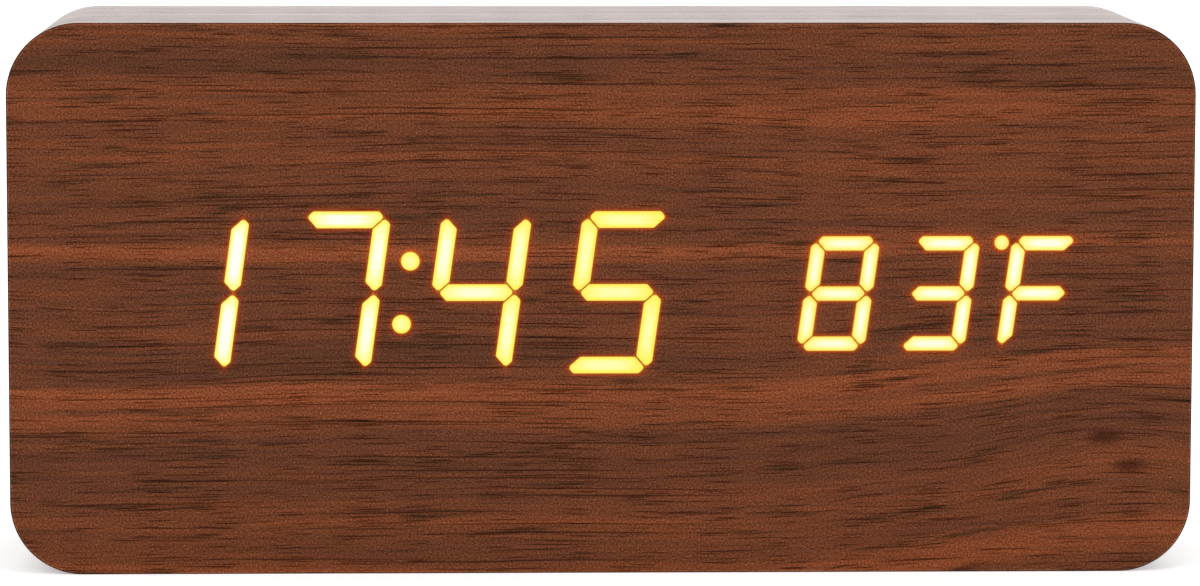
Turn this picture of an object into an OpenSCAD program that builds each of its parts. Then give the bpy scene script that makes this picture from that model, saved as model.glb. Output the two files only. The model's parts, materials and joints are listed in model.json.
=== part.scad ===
// Digital alarm clock: a veneered fibreboard block with lit segment displays behind the
// veneer and a plastic back cover that carries the buttons, the battery bay and the inlet.
// X runs to the right of the face, Y from the face to the back, Z up. The origin is the
// middle of the base. Sizes are in millimetres.

/* [Case] */
// Width of the case, over the veneer
case_w = 150; // [148:1:190]
// Height of the case, over the veneer
case_h = 70; // [69:1:100]
// Depth of the case, from the face to the back rim
case_d = 40; // [39:1:60]
// Radius of the four long edges, over the veneer
corner_r = 9.2; // [7:0.1:12]
// Thickness of the wood-grain veneer
veneer_t = 0.4; // [0.2:0.1:0.6]
// Thickness of the fibreboard side walls
wall_t = 5; // [4:0.25:5.5]
// Thickness of the fibreboard front wall
front_t = 3.6; // [2.6:0.2:4.6]

/* [Display] */
// Time shown on the four large digits
shown_time = "1745";
// Temperature and unit shown on the three small digits
shown_temp = "83F";
// Lean of the digits, in degrees
slant = 8; // [0:1:10]
// Gap between neighbouring segments
seg_gap = 0.2; // [0.1:0.05:0.4]
// Middle of the time display, to the right of the middle of the face
time_x = -24.85; // [-28:0.05:-18]
// Middle of the time display, above the middle of the face
time_up = 0.9; // [-1.4:0.1:1.4]
// Height of a time digit
time_digit_h = 20.6; // [18:0.1:21.5]
// Width of a time digit before it leans
time_digit_w = 11.4; // [10:0.1:12.5]
// Width of a time segment
time_seg_w = 2.1; // [1.6:0.05:2.4]
// Spacing of the time digits
time_pitch = 17.78; // [16:0.1:18]
// Diameter of the colon's dots
colon_d = 2.2; // [1.8:0.1:2.6]
// Distance between the colon's dots
colon_step = 8; // [6:0.5:10]
// Middle of the temperature display, to the right of the middle of the face
temp_x = 42.55; // [38:0.05:45]
// Middle of the temperature display, above the middle of the face
temp_up = 0.7; // [-3:0.1:3]
// Height of a temperature digit
temp_digit_h = 14.6; // [12:0.1:16]
// Width of a temperature digit before it leans
temp_digit_w = 8.7; // [7.5:0.1:9.2]
// Width of a temperature segment
temp_seg_w = 1.85; // [1.4:0.05:2]
// Spacing of the temperature digits
temp_pitch = 12.7; // [11.5:0.1:13]
// Diameter of the degree dot
degree_d = 1.7; // [1.5:0.1:2]
// Thickness of the milky lens in each segment
lens_t = 2; // [1:0.25:3]
// Plastic left round the digits of a reflector
reflector_rim = 1.4; // [1:0.1:1.6]

/* [Boards] */
// Thickness of the circuit boards
board_t = 1.6; // [1:0.1:2]
// Height of the posts that hold the main board off the front wall
post_h = 4; // [3:0.5:5]
// Width of the button board
button_board_w = 40; // [39:1:44]
// Height of the button board
button_board_h = 36; // [35:1:40]
// Distance from the button board to the case's right wall, seen from the face
button_board_in = 9.6; // [8:0.2:12]

/* [Back cover] */
// Thickness of the cover's plate
cover_t = 2; // [1.6:0.1:2.6]
// Depth of the cover below the back rim
cover_recess = 0.6; // [0.6:0.1:1.2]
// Width of the ledge that the cover sits on
rebate_w = 2; // [1.2:0.1:2.6]
// Gap round the cover, the windows and the door
fit_gap = 0.25; // [0.15:0.05:0.4]
// Side of the corner posts that take the cover's screws
cover_post = 9; // [8:0.25:9.5]

/* [Buttons] */
// Diameter of a button
button_d = 7; // [6:0.25:8]
// Spacing of the buttons
button_pitch = 14; // [13:0.5:15]
// Travel of a button
button_travel = 0.5; // [0.2:0.1:0.6]
// Height of a button above the cover's face
button_proud = 0.5; // [0.3:0.1:0.6]

/* [Battery bay] */
// Distance from the bay to the case's left wall, seen from the face
bay_in = 6; // [4.8:0.2:10]
// Diameter of a cell
cell_d = 10.5; // [9.5:0.1:10.5]
// Length of a cell over its positive cap
cell_l = 44.5; // [43:0.5:45.5]
// Spacing of the cells
cell_pitch = 11; // [10.8:0.1:11.2]
// Length of a pressed battery spring
spring_l = 6; // [5.6:0.1:7]
// Diameter of the spring wire
spring_wire = 0.6; // [0.4:0.05:0.7]
// Turns of a battery spring
spring_turns = 3; // [2:0.5:3]

/* [Hidden] */
$fn = 48;
tiny = 0.01;

// Levels in depth, from the face to the back rim
face_y = -case_d / 2;
wood_y = face_y + veneer_t;
wall_y = wood_y + front_t;
board_y = wall_y + post_h;
board_back_y = board_y + board_t;
rim_y = case_d / 2;
cover_out_y = rim_y - cover_recess;
cover_in_y = cover_out_y - cover_t;
mid_z = case_h / 2;

// Outlines of the case, each inside the last
wood_w = case_w - 2 * veneer_t;
wood_h = case_h - 2 * veneer_t;
wood_r = corner_r - veneer_t;
cavity_w = wood_w - 2 * wall_t;
cavity_h = wood_h - 2 * wall_t;
cavity_r = max(1, wood_r - wall_t);
rebate_r = cavity_r + rebate_w;

// Displays: [middle x, digit height, digit width, segment width, pitch, symbols, middle z]
TIME = [time_x, time_digit_h, time_digit_w, time_seg_w, time_pitch, shown_time, mid_z + time_up];
TEMP = [temp_x, temp_digit_h, temp_digit_w, temp_seg_w, temp_pitch, shown_temp, mid_z + temp_up];
// Segments that light for each symbol
SYMBOLS = "0123456789CF";
LIT = ["abcdef", "bc", "abdeg", "abcdg", "bcfg", "acdfg", "acdefg", "abc", "abcdefg", "abcdfg",
       "adef", "aefg"];
// Share of a segment's width that is cut off its tip at a digit's sharp and blunt corners
sharp_cut = 0.35;
blunt_cut = 0.33;
// Share of a segment's width that the middle tips lie outside the side segments' middles
tip_out = 0.1;
// The degree dot stands left of the unit, level with its top
degree_gap = 0.42;
degree_left = (temp_digit_w + degree_d) / 2 + degree_gap;
degree_up = (temp_digit_h - degree_d) / 2;
led_l = 1.2;
led_w = 0.7;
led_h = 0.5;

// Main board, between the corner posts, and its screws
board_side_gap = 3.6;
board_post_gap = 0.6;
main_board_w = cavity_w - 2 * board_side_gap;
main_board_h = cavity_h - 2 * (cover_post + board_post_gap);
board_hole_in = 3.1;
post_d = 6;
main_hole_x = main_board_w / 2 - board_hole_in;
main_hole_z = main_board_h / 2 - board_hole_in;

// Screws: cover screws are countersunk, board screws have pan heads
cover_screw_d = 2.8;
cover_screw_head = 5.4;
cover_screw_l = 12;
cover_screw_x = cavity_w / 2 - cover_post / 2;
cover_screw_z = cavity_h / 2 - cover_post / 2;
board_screw_d = 2.2;
board_screw_head = 4.2;
board_screw_head_h = 1.5;
main_screw_l = board_t + post_h + front_t / 2;
screw_slack = 0.1;
pilot_spare = 0.4;
cross_w = 0.6;

// Parts on the back of the main board: [x, z] from the board's middle
chip_28 = [17.9, 7.5, 2.3];
chip_8 = [5, 4, 1.6];
controller_at = [4, 9];
driver_at = [4, -9];
clock_at = [-20, 12];
crystal_at = [-20, 5];
crystal_d = 2;
crystal_l = 6;
leg_pitch = 1.27;
leg_w = 0.42;
leg_reach = 1.4;
leg_t = 0.25;
capacitor_d = 6.3;
capacitor_h = 7.5;
groove_y = 1.4;
groove_r = 0.4;
capacitors = 3;
capacitor_first = [21, -14];
capacitor_step = 8;
resistor = [2, 1.2, 0.6];
resistors = [6, 2];
resistor_first = [-52, 15];
resistor_step = [3.2, -2.4];
coin_at = [-42, -4];
coin_d = 20;
coin_t = 3.2;
coin_wall = 1.2;
coin_floor = 0.8;

// Ribbon cable and the headers that it joins, above each other on the two boards
header = [12, 5.4, 5];
ribbon_ways = 6;
ribbon_pitch = 1.27;
ribbon_d = 1.36;
ribbon_straight = 0.9;
main_header_down = 4;
button_header_up = 8;
main_header_z = mid_z - main_header_down;
button_header_z = mid_z + button_header_up;

// Button board, carried by bosses on the cover
boss_h = 8.4;
button_board_back_y = cover_in_y - boss_h;
button_board_y = button_board_back_y - board_t;
button_board_x = cavity_w / 2 - button_board_in - button_board_w / 2;
ribbon_bend = (button_board_y - board_back_y) / 2 - header.z - ribbon_straight;
boss_d = 5.5;
boss_in = 3.5;
boss_x = button_board_w / 2 - boss_in;
boss_z = button_board_h / 2 - boss_in;
boss_screw_l = board_t + boss_h * 0.6;
button_up = 7;
switch_w = 6;
switch_h = 3.5;
switch_floor = 0.9;
plunger_d = 3.5;
plunger_gap = 0.1;
plunger_up = 1.2;
plunger_y = button_board_back_y + switch_floor + button_travel + plunger_gap;
stem_d = 4.2;
flange_d = button_d + 2;
flange_t = 1.2;
flange_gap = 0.1;
flange_y = cover_in_y - flange_gap - flange_t;
stem_y = button_board_back_y + switch_h + button_travel + plunger_up;
button_out_y = cover_out_y + button_proud;
button_edge = 0.4;
button_dish = 0.3;
dish_r = 14;

// Parts on the button board: [x, z] from the board's middle
usb_at = [-11, -9];
usb_w = 7.6;
usb_h = 2.9;
usb_wall = 0.35;
usb_cut = 0.9;
usb_in = 0.8;
usb_tongue_t = 0.7;
usb_tongue_l = 4.4;
usb_tongue_in = 1;
usb_tongue_up = 0.3;
usb_hole_gap = 0.4;
buzzer_at = [-0.5, -8];
buzzer_d = 12;
buzzer_hole_d = 2;
buzzer_hole_l = 2.5;
top_gap = 0.2;
sound_hole_d = 1.2;
sound_ring_d = 6;
sound_holes = 6;
microphone_at = [13, -4];
microphone_d = 6;
microphone_h = 5.4;
boot_d = 7.8;
boot_grip = 2.4;
microphone_hole_d = 1.2;
thermistor_at = [9.5, -13.5];
bead_d = 2.4;
bead_up = 4;
bead_leg_d = 0.6;
bead_leg_step = 1.2;
vent_l = 7;
vent_w = 1;
vent_step = 2.2;

// Battery bay: the cells lie along X, one above the other, the middle one turned round
cells = 3;
cell_gap = 0.2;
contact_t = 0.4;
contact_w = 8;
contact_h = 7;
bay_wall = 1.8;
bay_floor = 1.6;
bay_side_gap = 0.5;
floor_gap = 0.1;
cradle_t = 1.4;
cradle_h = 2.2;
cradle_x = 12;
slot_gap = 0.2;
lip_t = 2;
lip_w = 1.5;
ledge = 1.5;
door_gap = 0.3;
door_t = cover_t - 0.2;
cap_d = 3.8;
cap_h = 0.8;
cell_foot = 0.4;
cell_foot_in = 0.8;
bridge_h = 2;
bay_l = cell_l + spring_l + 2 * contact_t;
bay_h = (cells - 1) * cell_pitch + cell_d + 2 * bay_side_gap;
door_in_y = cover_out_y - door_t;
cell_y = door_in_y - cell_gap - cell_d / 2;
floor_y = cell_y - cell_d / 2 - floor_gap;
bay_end = bay_l / 2;
bay_x = bay_in + bay_wall + bay_end - cavity_w / 2;
contact_low_y = floor_y + floor_gap;
tab_w = 2;
tab_out = 3;
tab_y = floor_y - bay_floor - tab_out;
lead_d = 1.4;
lead_bend = 2.5;
lead_run = 4;
lead_end_gap = 0.3;

// Battery door: hooked at its left end seen from the face, snapped at the other
latch_l = 7.5;
latch_w = 10;
latch_t = 1;
latch_deep = 6;
nose = 1;
nose_h = 1.2;
nose_gap = 0.2;
nose_tip = 0.4;
pad_l = 3;
pocket_deep = 8;
pocket_gap = 0.6;
pocket_wall = 1.4;
pocket_under = nose + nose_tip;
opening_x0 = bay_x - bay_end - ledge;
opening_x1 = bay_x + bay_end + ledge + latch_l;
opening_h = bay_h + 2 * ledge;
door_x0 = opening_x0 + door_gap;
door_x1 = opening_x1 - door_gap;
door_h = opening_h - 2 * door_gap;
hinge_x = door_x0 + door_t / 2;
hinge_y = door_in_y + door_t / 2;
hook_w = 3;
hook_t = 1.2;
hook_reach = 1.8;
hook_gap = 0.3;
hook_root = 1.5;
hook_y = cover_in_y - hook_gap - hook_t;
hook_slot_gap = 0.4;
hook_swing = 4.6;
hook_z = [mid_z - cell_pitch / 2, mid_z + cell_pitch / 2];
grips = 4;
grip_w = 0.6;
grip_step = 1.4;
grip_deep = 0.4;

// Shapes that repeat

// A flat shape drawn in X and Z, as thick as the stretch from y0 to y1
module slab(y0, y1) {
    translate([0, y1, 0]) rotate([90, 0, 0]) linear_extrude(y1 - y0) children();
}

// A round bar along Y
module rod(x, z, y0, y1, d) {
    translate([x, y1, z]) rotate([90, 0, 0]) cylinder(d = d, h = y1 - y0);
}

// A box given by its middle in X and Z
module block(x, z, y0, y1, w, h) {
    translate([x - w / 2, y0, z - h / 2]) cube([w, y1 - y0, h]);
}

// A rectangle with round corners, about the origin
module rounded(w, h, r) {
    square([w - 2 * r, h], center = true);
    square([w, h - 2 * r], center = true);
    for (x = [-1, 1], z = [-1, 1])
        translate([x * (w / 2 - r), z * (h / 2 - r)]) circle(r);
}

module case_outline(w, h, r) {
    translate([0, mid_z]) rounded(w, h, r);
}

// Four places, mirrored about the middle of the case or of a board
module at_corners(x, z, middle = 0) {
    for (sx = [-1, 1], sz = [-1, 1]) translate([middle + sx * x, 0, mid_z + sz * z]) children();
}

module cross_recess(size, deep) {
    for (a = [0, 90])
        rotate([0, a, 0]) translate([-size / 2, -deep, -cross_w / 2]) cube([size, deep + 1, cross_w]);
}

// A countersunk screw that points along -Y, with its head's face at y = 0
module countersunk_screw(d, head_d, l) {
    cone = (head_d - d) / 2;
    difference() {
        union() {
            translate([0, -cone, 0]) rotate([-90, 0, 0]) cylinder(d1 = d, d2 = head_d, h = cone);
            translate([0, -cone, 0]) rotate([90, 0, 0]) cylinder(d = d, h = l - cone - d);
            translate([0, d - l, 0]) rotate([90, 0, 0]) cylinder(d1 = d, d2 = d / 3, h = d);
        }
        cross_recess(head_d * 0.6, cone * 0.7);
    }
}

// A pan-head screw that points along -Y, with the seat of its head at y = 0
module pan_screw(d, head_d, head_h, l) {
    difference() {
        union() {
            rotate([-90, 0, 0]) cylinder(d1 = head_d, d2 = head_d * 0.8, h = head_h);
            rotate([90, 0, 0]) cylinder(d = d, h = l - d);
            translate([0, d - l, 0]) rotate([90, 0, 0]) cylinder(d1 = d, d2 = d / 3, h = d);
        }
        translate([0, head_h, 0]) cross_recess(head_d * 0.6, head_h * 0.6);
    }
}

// Seven-segment digits

// Offset across a mitre that leaves the gap between two segments
mitre = seg_gap / sqrt(2);

// Outline of segment a, b or g of an upright digit with half sizes hw and hh to the middles
// of its segments, which are t wide
function outline_a(hw, hh, t) =
    let (s = sharp_cut * t, b = blunt_cut * t, reach = hw + t / 2 - mitre, top = hh + t / 2)
    [[t / 2 + mitre - hw, hh - t / 2], [b - reach, top - b], [2 * b - reach, top],
     [reach - 2 * s, top], [reach - s, top - s], [hw - t / 2 - mitre, hh - t / 2]];
function outline_b(hw, hh, t, c) =
    let (cut = c * t, side = hw + t / 2, top = hh + t / 2 - mitre, out = tip_out * t)
    [[hw - t / 2, hh - t / 2 - mitre], [side - cut, top - cut], [side, top - 2 * cut],
     [side, t / 2 + mitre - out], [hw + out, mitre], [hw - t / 2, t / 2 + mitre + out]];
function outline_g(hw, t) =
    let (tip = hw + tip_out * t - mitre, flat = tip - t / 2)
    [[-tip, 0], [-flat, t / 2], [flat, t / 2], [tip, 0], [flat, -t / 2], [-flat, -t / 2]];
function turned(p) = [for (q = p) -q];
function flipped_x(p) = [for (q = p) [-q.x, q.y]];
function flipped_z(p) = [for (q = p) [q.x, -q.y]];
function upright(s, hw, hh, t) =
    s == "a" ? outline_a(hw, hh, t) :
    s == "b" ? outline_b(hw, hh, t, sharp_cut) :
    s == "c" ? flipped_z(outline_b(hw, hh, t, blunt_cut)) :
    s == "d" ? turned(outline_a(hw, hh, t)) :
    s == "e" ? turned(outline_b(hw, hh, t, sharp_cut)) :
    s == "f" ? flipped_x(outline_b(hw, hh, t, blunt_cut)) :
    outline_g(hw, t);
function leaned(q) = [q.x + q.y * tan(slant), q.y];
// Outline of one segment of a display's digit, leaned, about the digit's middle
function segment(display, s) =
    let (t = display[3], hw = (display[2] - t) / 2, hh = (display[1] - t) / 2)
    [for (q = upright(s, hw, hh, t)) leaned(q)];
function segment_middle(display, s) = let (p = segment(display, s)) [for (k = [0, 1])
    (min([for (q = p) q[k]]) + max([for (q = p) q[k]])) / 2];
function digit_x(display, i) = display[0] + (i - (len(display[5]) - 1) / 2) * display[4];
function is_lit(display, i, s) =
    len(search(s, LIT[search(display[5][i], SYMBOLS)[0]])) > 0;
// Dots: [x, z, diameter]
colon = [for (k = [-1, 1]) let (q = leaned([0, k * colon_step / 2]))
    [time_x + q.x, TIME[6] + q.y, colon_d]];
degree = let (q = leaned([-degree_left, degree_up]))
    [[digit_x(TEMP, len(shown_temp) - 1) + q.x, TEMP[6] + q.y, degree_d]];

// Every segment of a display, or only those that are lit or dark, drawn in X and Z
module segments(display, lit = true, dark = true) {
    for (i = [0:len(display[5]) - 1], s = "abcdefg")
        if (is_lit(display, i, s) ? lit : dark)
            translate([digit_x(display, i), display[6]]) polygon(segment(display, s));
}

module dots(list) {
    for (q = list) translate([q[0], q[1]]) circle(d = q[2]);
}

function reflector_w(display) = (len(display[5]) - 1) * display[4] + display[2]
    + display[1] * tan(slant) + 2 * reflector_rim;
function reflector_h(display) = display[1] + 2 * reflector_rim;

module reflector_outline(display, gap = 0) {
    translate([display[0], display[6]])
        square([reflector_w(display) + 2 * gap, reflector_h(display) + 2 * gap], center = true);
}

// Case

module wood_case() {
    color("#9b7650") difference() {
        union() {
            difference() {
                slab(wood_y, rim_y) case_outline(wood_w, wood_h, wood_r);
                slab(wall_y, rim_y + 1) case_outline(cavity_w, cavity_h, cavity_r);
                slab(cover_in_y, rim_y + 1)
                    case_outline(cavity_w + 2 * rebate_w, cavity_h + 2 * rebate_w, rebate_r);
            }
            at_corners(cover_screw_x, cover_screw_z)
                block(0, 0, wall_y - tiny, cover_in_y, cover_post, cover_post);
            at_corners(main_hole_x, main_hole_z) rod(0, 0, wall_y - tiny, board_y, post_d);
        }
        slab(wood_y - 1, wall_y + 1) {
            reflector_outline(TIME, fit_gap);
            reflector_outline(TEMP, fit_gap);
        }
        at_corners(cover_screw_x, cover_screw_z)
            rod(0, 0, cover_out_y - cover_screw_l - 1, cover_in_y + 1, cover_screw_d + screw_slack);
        at_corners(main_hole_x, main_hole_z)
            rod(0, 0, board_back_y - main_screw_l - pilot_spare, board_y + 1, board_screw_d + screw_slack);
    }
}

module front_veneer() {
    color("#6b3f29", 0.6) slab(face_y, wood_y) case_outline(case_w, case_h, corner_r);
}

module edge_veneer() {
    color("#6b3f29") difference() {
        slab(wood_y, rim_y) case_outline(case_w, case_h, corner_r);
        slab(wood_y - 1, rim_y + 1) case_outline(wood_w, wood_h, wood_r);
    }
}

// Displays

module reflector(display, dot_list) {
    color("#3a3a3e") difference() {
        slab(wood_y, board_y) reflector_outline(display);
        slab(wood_y - 1, board_y + 1) segments(display);
        slab(wood_y - 1, board_y + 1) dots(dot_list);
    }
}

module lit_segments() {
    color("#ffe873") slab(wood_y, wood_y + lens_t) {
        segments(TIME, dark = false);
        segments(TEMP, dark = false);
        dots(concat(colon, degree));
    }
}

module dark_segments() {
    color("#5c564a") slab(wood_y, wood_y + lens_t) {
        segments(TIME, lit = false);
        segments(TEMP, lit = false);
    }
}

module led(x, z, upright = false) {
    block(x, z, board_y - led_h, board_y, upright ? led_w : led_l, upright ? led_l : led_w);
}

module led_chips() {
    color("#f4dc8c") {
        for (d = [TIME, TEMP], i = [0:len(d[5]) - 1], s = "abcdefg") {
            q = segment_middle(d, s);
            led(digit_x(d, i) + q.x, d[6] + q.y, len(search(s, "bcef")) > 0);
        }
        for (q = concat(colon, degree)) led(q[0], q[1]);
    }
}

// Main board

module main_board() {
    color("#1f6b3a") difference() {
        block(0, mid_z, board_y, board_back_y, main_board_w, main_board_h);
        at_corners(main_hole_x, main_hole_z)
            rod(0, 0, board_y - 1, board_back_y + 1, board_screw_d + 2 * screw_slack);
    }
}

module main_board_screws() {
    color("silver") at_corners(main_hole_x, main_hole_z) translate([0, board_back_y, 0])
        pan_screw(board_screw_d, board_screw_head, board_screw_head_h, main_screw_l);
}

module on_main_board(at) {
    translate([at.x, board_back_y, mid_z + at.y]) children();
}

// Moulded chip body with draughted sides, standing off its board
module chip(size) {
    lift = 0.15;
    side = 0.25;
    translate([0, 0, -size.y / 2]) linear_extrude(size.y) polygon([
        [side - size.x / 2, lift], [size.x / 2 - side, lift], [size.x / 2, size.z / 2],
        [size.x / 2 - side, size.z], [side - size.x / 2, size.z], [-size.x / 2, size.z / 2]]);
}

module controller_chip() {
    color("#222222") on_main_board(controller_at) chip(chip_28);
}

module display_driver() {
    color("#222222") on_main_board(driver_at) chip(chip_28);
}

module clock_chip() {
    color("#222222") on_main_board(clock_at) chip(chip_8);
}

// Two rows of gull-wing legs, each a strip that steps down from the body to the board
module legs(size, count) {
    mid = size.z / 2;
    half = size.y / 2;
    foot = half + leg_reach;
    profile = [[half, mid - leg_t / 2], [half, mid + leg_t / 2], [half + leg_reach / 2, mid + leg_t / 2],
               [half + leg_reach / 2 + leg_t, leg_t], [foot, leg_t], [foot, 0],
               [half + leg_reach / 2, 0], [half + leg_reach / 2 - leg_t, mid - leg_t / 2]];
    for (i = [0:count / 2 - 1], side = [0, 180])
        translate([(i - (count / 2 - 1) / 2) * leg_pitch, 0, 0]) rotate([0, side, 0])
            translate([leg_w / 2, 0, 0]) rotate([0, -90, 0]) linear_extrude(leg_w) polygon(profile);
}

module chip_legs() {
    color("silver") {
        on_main_board(controller_at) legs(chip_28, 28);
        on_main_board(driver_at) legs(chip_28, 28);
        on_main_board(clock_at) legs(chip_8, 8);
    }
}

module crystal() {
    color("silver") on_main_board(crystal_at) translate([-crystal_l / 2, crystal_d / 2, 0])
        rotate([0, 90, 0]) cylinder(d = crystal_d, h = crystal_l);
}

module chip_resistors() {
    color("#2b2b2b") for (i = [0:resistors.x - 1], j = [0:resistors.y - 1])
        on_main_board(resistor_first + [i * resistor_step.x, j * resistor_step.y])
            block(0, 0, 0, resistor.z, resistor.x, resistor.y);
}

// Cans with the rolled groove near their foot
module filter_capacitors() {
    color("#2f3f8f") for (i = [0:capacitors - 1])
        on_main_board(capacitor_first + [i * capacitor_step, 0]) rotate([-90, 0, 0]) difference() {
            cylinder(d = capacitor_d, h = capacitor_h);
            rotate_extrude() translate([capacitor_d / 2 + groove_r / 4, groove_y]) circle(groove_r);
        }
}

module coin_cell_holder() {
    wide = coin_d + 2 * (coin_wall + fit_gap);
    color("#303030") on_main_board(coin_at) difference() {
        rotate([-90, 0, 0]) cylinder(d = wide, h = coin_floor + coin_t * 0.8);
        translate([0, coin_floor, 0]) rotate([-90, 0, 0]) cylinder(d = coin_d + 2 * fit_gap, h = coin_t);
        translate([wide * 0.3, coin_floor, -coin_d / 4]) cube([wide, coin_t, coin_d / 2]);
    }
}

module coin_cell() {
    step = 0.5;
    color("silver") on_main_board(coin_at) translate([0, coin_floor, 0]) rotate([-90, 0, 0]) {
        cylinder(d = coin_d - 2 * step, h = step);
        translate([0, 0, step]) cylinder(d = coin_d, h = coin_t - step);
    }
}

// A plug pushed on its pins, with the rib that keys it
module header_block(z, y0, y1) {
    rib = 1;
    color("ivory") {
        block(button_board_x, z, y0, y1, header.x, header.y);
        block(button_board_x, z - (header.y + rib) / 2 + tiny, y0, y1, header.x / 3, rib);
    }
}

module main_header() {
    header_block(main_header_z, board_back_y, board_back_y + header.z);
}

module button_header() {
    header_block(button_header_z, button_board_y - header.z, button_board_y);
}

// A shape drawn about the origin, carried along +Y, round a bend to +Z, along it, and round a
// second bend to +Y again
module cranked(y0, y1, z0, z1, bend) {
    run = (y1 - y0) / 2 - bend;
    translate([0, y0 + run, z0]) rotate([90, 0, 0]) linear_extrude(run) children();
    translate([0, y0 + run, z0 + bend]) rotate([90, 0, 90]) rotate([0, 0, -90])
        rotate_extrude(angle = 90) translate([bend, 0]) rotate(90) children();
    translate([0, y0 + run + bend, z0 + bend]) linear_extrude(z1 - z0 - 2 * bend) children();
    translate([0, y1 - run, z1 - bend]) rotate([90, 0, 90]) rotate([0, 0, 90])
        rotate_extrude(angle = 90) translate([bend, 0]) rotate(90) children();
    translate([0, y1, z1]) rotate([90, 0, 0]) linear_extrude(run) children();
}

module ribbon_cable() {
    color("#8c8c90") translate([button_board_x, 0, 0])
        cranked(board_back_y + header.z, button_board_y - header.z, main_header_z, button_header_z,
                ribbon_bend)
            for (i = [0:ribbon_ways - 1])
                translate([(i - (ribbon_ways - 1) / 2) * ribbon_pitch, 0]) circle(d = ribbon_d);
}

// Back cover

// A snap pocket beside the bay and the walls round it
module latch_pocket(grow) {
    x0 = bay_x + bay_end + bay_wall;
    x1 = opening_x1 + pocket_under;
    translate([x0 - grow, cover_in_y - pocket_deep - grow, mid_z - latch_w / 2 - pocket_gap - grow])
        cube([x1 - x0 + 2 * grow, pocket_deep + grow, latch_w + 2 * pocket_gap + 2 * grow]);
}

// Ribs across the bay that the cells lie in
module cell_cradles() {
    for (x = [-1, 1]) difference() {
        block(bay_x + x * cradle_x, mid_z, floor_y - 1, floor_y + cradle_h, cradle_t, bay_h + 2);
        for (i = [0:cells - 1]) translate([bay_x + x * cradle_x - cradle_t, cell_y, cell_z(i)])
            rotate([0, 90, 0]) cylinder(d = cell_d + 2 * floor_gap, h = 2 * cradle_t);
    }
}

module back_cover() {
    color("#26262a") difference() {
        union() {
            slab(cover_in_y, cover_out_y) case_outline(cavity_w + 2 * (rebate_w - fit_gap),
                cavity_h + 2 * (rebate_w - fit_gap), rebate_r - fit_gap);
            block(bay_x, mid_z, floor_y - bay_floor, cover_in_y + tiny, bay_l + 2 * bay_wall,
                  bay_h + 2 * bay_wall);
            translate([opening_x0 - lip_w, cover_in_y - lip_t, mid_z - opening_h / 2 - lip_w])
                cube([opening_x1 - opening_x0 + 2 * lip_w, lip_t + tiny, opening_h + 2 * lip_w]);
            latch_pocket(pocket_wall);
            at_corners(boss_x, boss_z, button_board_x)
                rod(0, 0, button_board_back_y, cover_in_y + tiny, boss_d);
        }
        // Bay and door opening
        difference() {
            block(bay_x, mid_z, floor_y, cover_out_y + 1, bay_l, bay_h);
            cell_cradles();
        }
        translate([opening_x0, cover_in_y, mid_z - opening_h / 2])
            cube([opening_x1 - opening_x0, cover_t + 1, opening_h]);
        latch_pocket(0);
        // Slots for the door's hooks and the contacts' tabs
        for (z = hook_z)
            translate([opening_x0 - lip_w - 1, hinge_y - hook_swing, z - hook_w / 2 - hook_slot_gap])
                cube([lip_w + ledge + 1 + tiny, cover_in_y - hinge_y + hook_swing,
                      hook_w + 2 * hook_slot_gap]);
        for (q = lead_ends)
            block(q[0], q[1], floor_y - bay_floor - 1, floor_y + 1, contact_t + 2 * slot_gap,
                  tab_w + 2 * slot_gap);
        // Buttons, inlet, sound holes, microphone hole and vents
        for (x = button_xs) rod(x, button_z, cover_in_y - 1, cover_out_y + 1, button_d + 2 * fit_gap);
        on_button_board(usb_at) block(0, 0, cover_in_y - 1, cover_out_y + 1,
            usb_w + 2 * usb_hole_gap, usb_h + 2 * usb_hole_gap);
        on_button_board(buzzer_at) {
            rod(0, 0, cover_in_y - 1, cover_out_y + 1, sound_hole_d);
            for (i = [1:sound_holes]) rotate([0, i * 360 / sound_holes, 0])
                rod(sound_ring_d / 2, 0, cover_in_y - 1, cover_out_y + 1, sound_hole_d);
        }
        on_button_board(microphone_at) rod(0, 0, cover_in_y - 1, cover_out_y + 1, microphone_hole_d);
        on_button_board(thermistor_at) for (i = [-1:1])
            block(0, i * vent_step, cover_in_y - 1, cover_out_y + 1, vent_l, vent_w);
        // Screws
        at_corners(boss_x, boss_z, button_board_x)
            rod(0, 0, button_board_back_y - 1, button_board_y + boss_screw_l + pilot_spare,
                board_screw_d + screw_slack);
        at_corners(cover_screw_x, cover_screw_z) {
            rod(0, 0, cover_in_y - 1, cover_out_y + 1, cover_screw_d + 2 * screw_slack);
            translate([0, cover_out_y, 0]) rotate([90, 0, 0])
                cylinder(d1 = cover_screw_head + 2 * screw_slack, d2 = cover_screw_d + 2 * screw_slack,
                         h = (cover_screw_head - cover_screw_d) / 2);
        }
    }
}

module cover_screws() {
    color("#3a3a3c") at_corners(cover_screw_x, cover_screw_z) translate([0, cover_out_y, 0])
        countersunk_screw(cover_screw_d, cover_screw_head, cover_screw_l);
}

// Button board

button_xs = [for (i = [1, 0, -1]) button_board_x + i * button_pitch];
button_z = mid_z + button_up;

module on_button_board(at) {
    translate([button_board_x + at.x, 0, mid_z + at.y]) children();
}

module button_board() {
    color("#1f6b3a") difference() {
        block(button_board_x, mid_z, button_board_y, button_board_back_y, button_board_w, button_board_h);
        at_corners(boss_x, boss_z, button_board_x)
            rod(0, 0, button_board_y - 1, button_board_back_y + 1, board_screw_d + 2 * screw_slack);
    }
}

module button_board_screws() {
    color("silver") at_corners(boss_x, boss_z, button_board_x) translate([0, button_board_y, 0])
        rotate([180, 0, 0]) pan_screw(board_screw_d, board_screw_head, board_screw_head_h, boss_screw_l);
}

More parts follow.
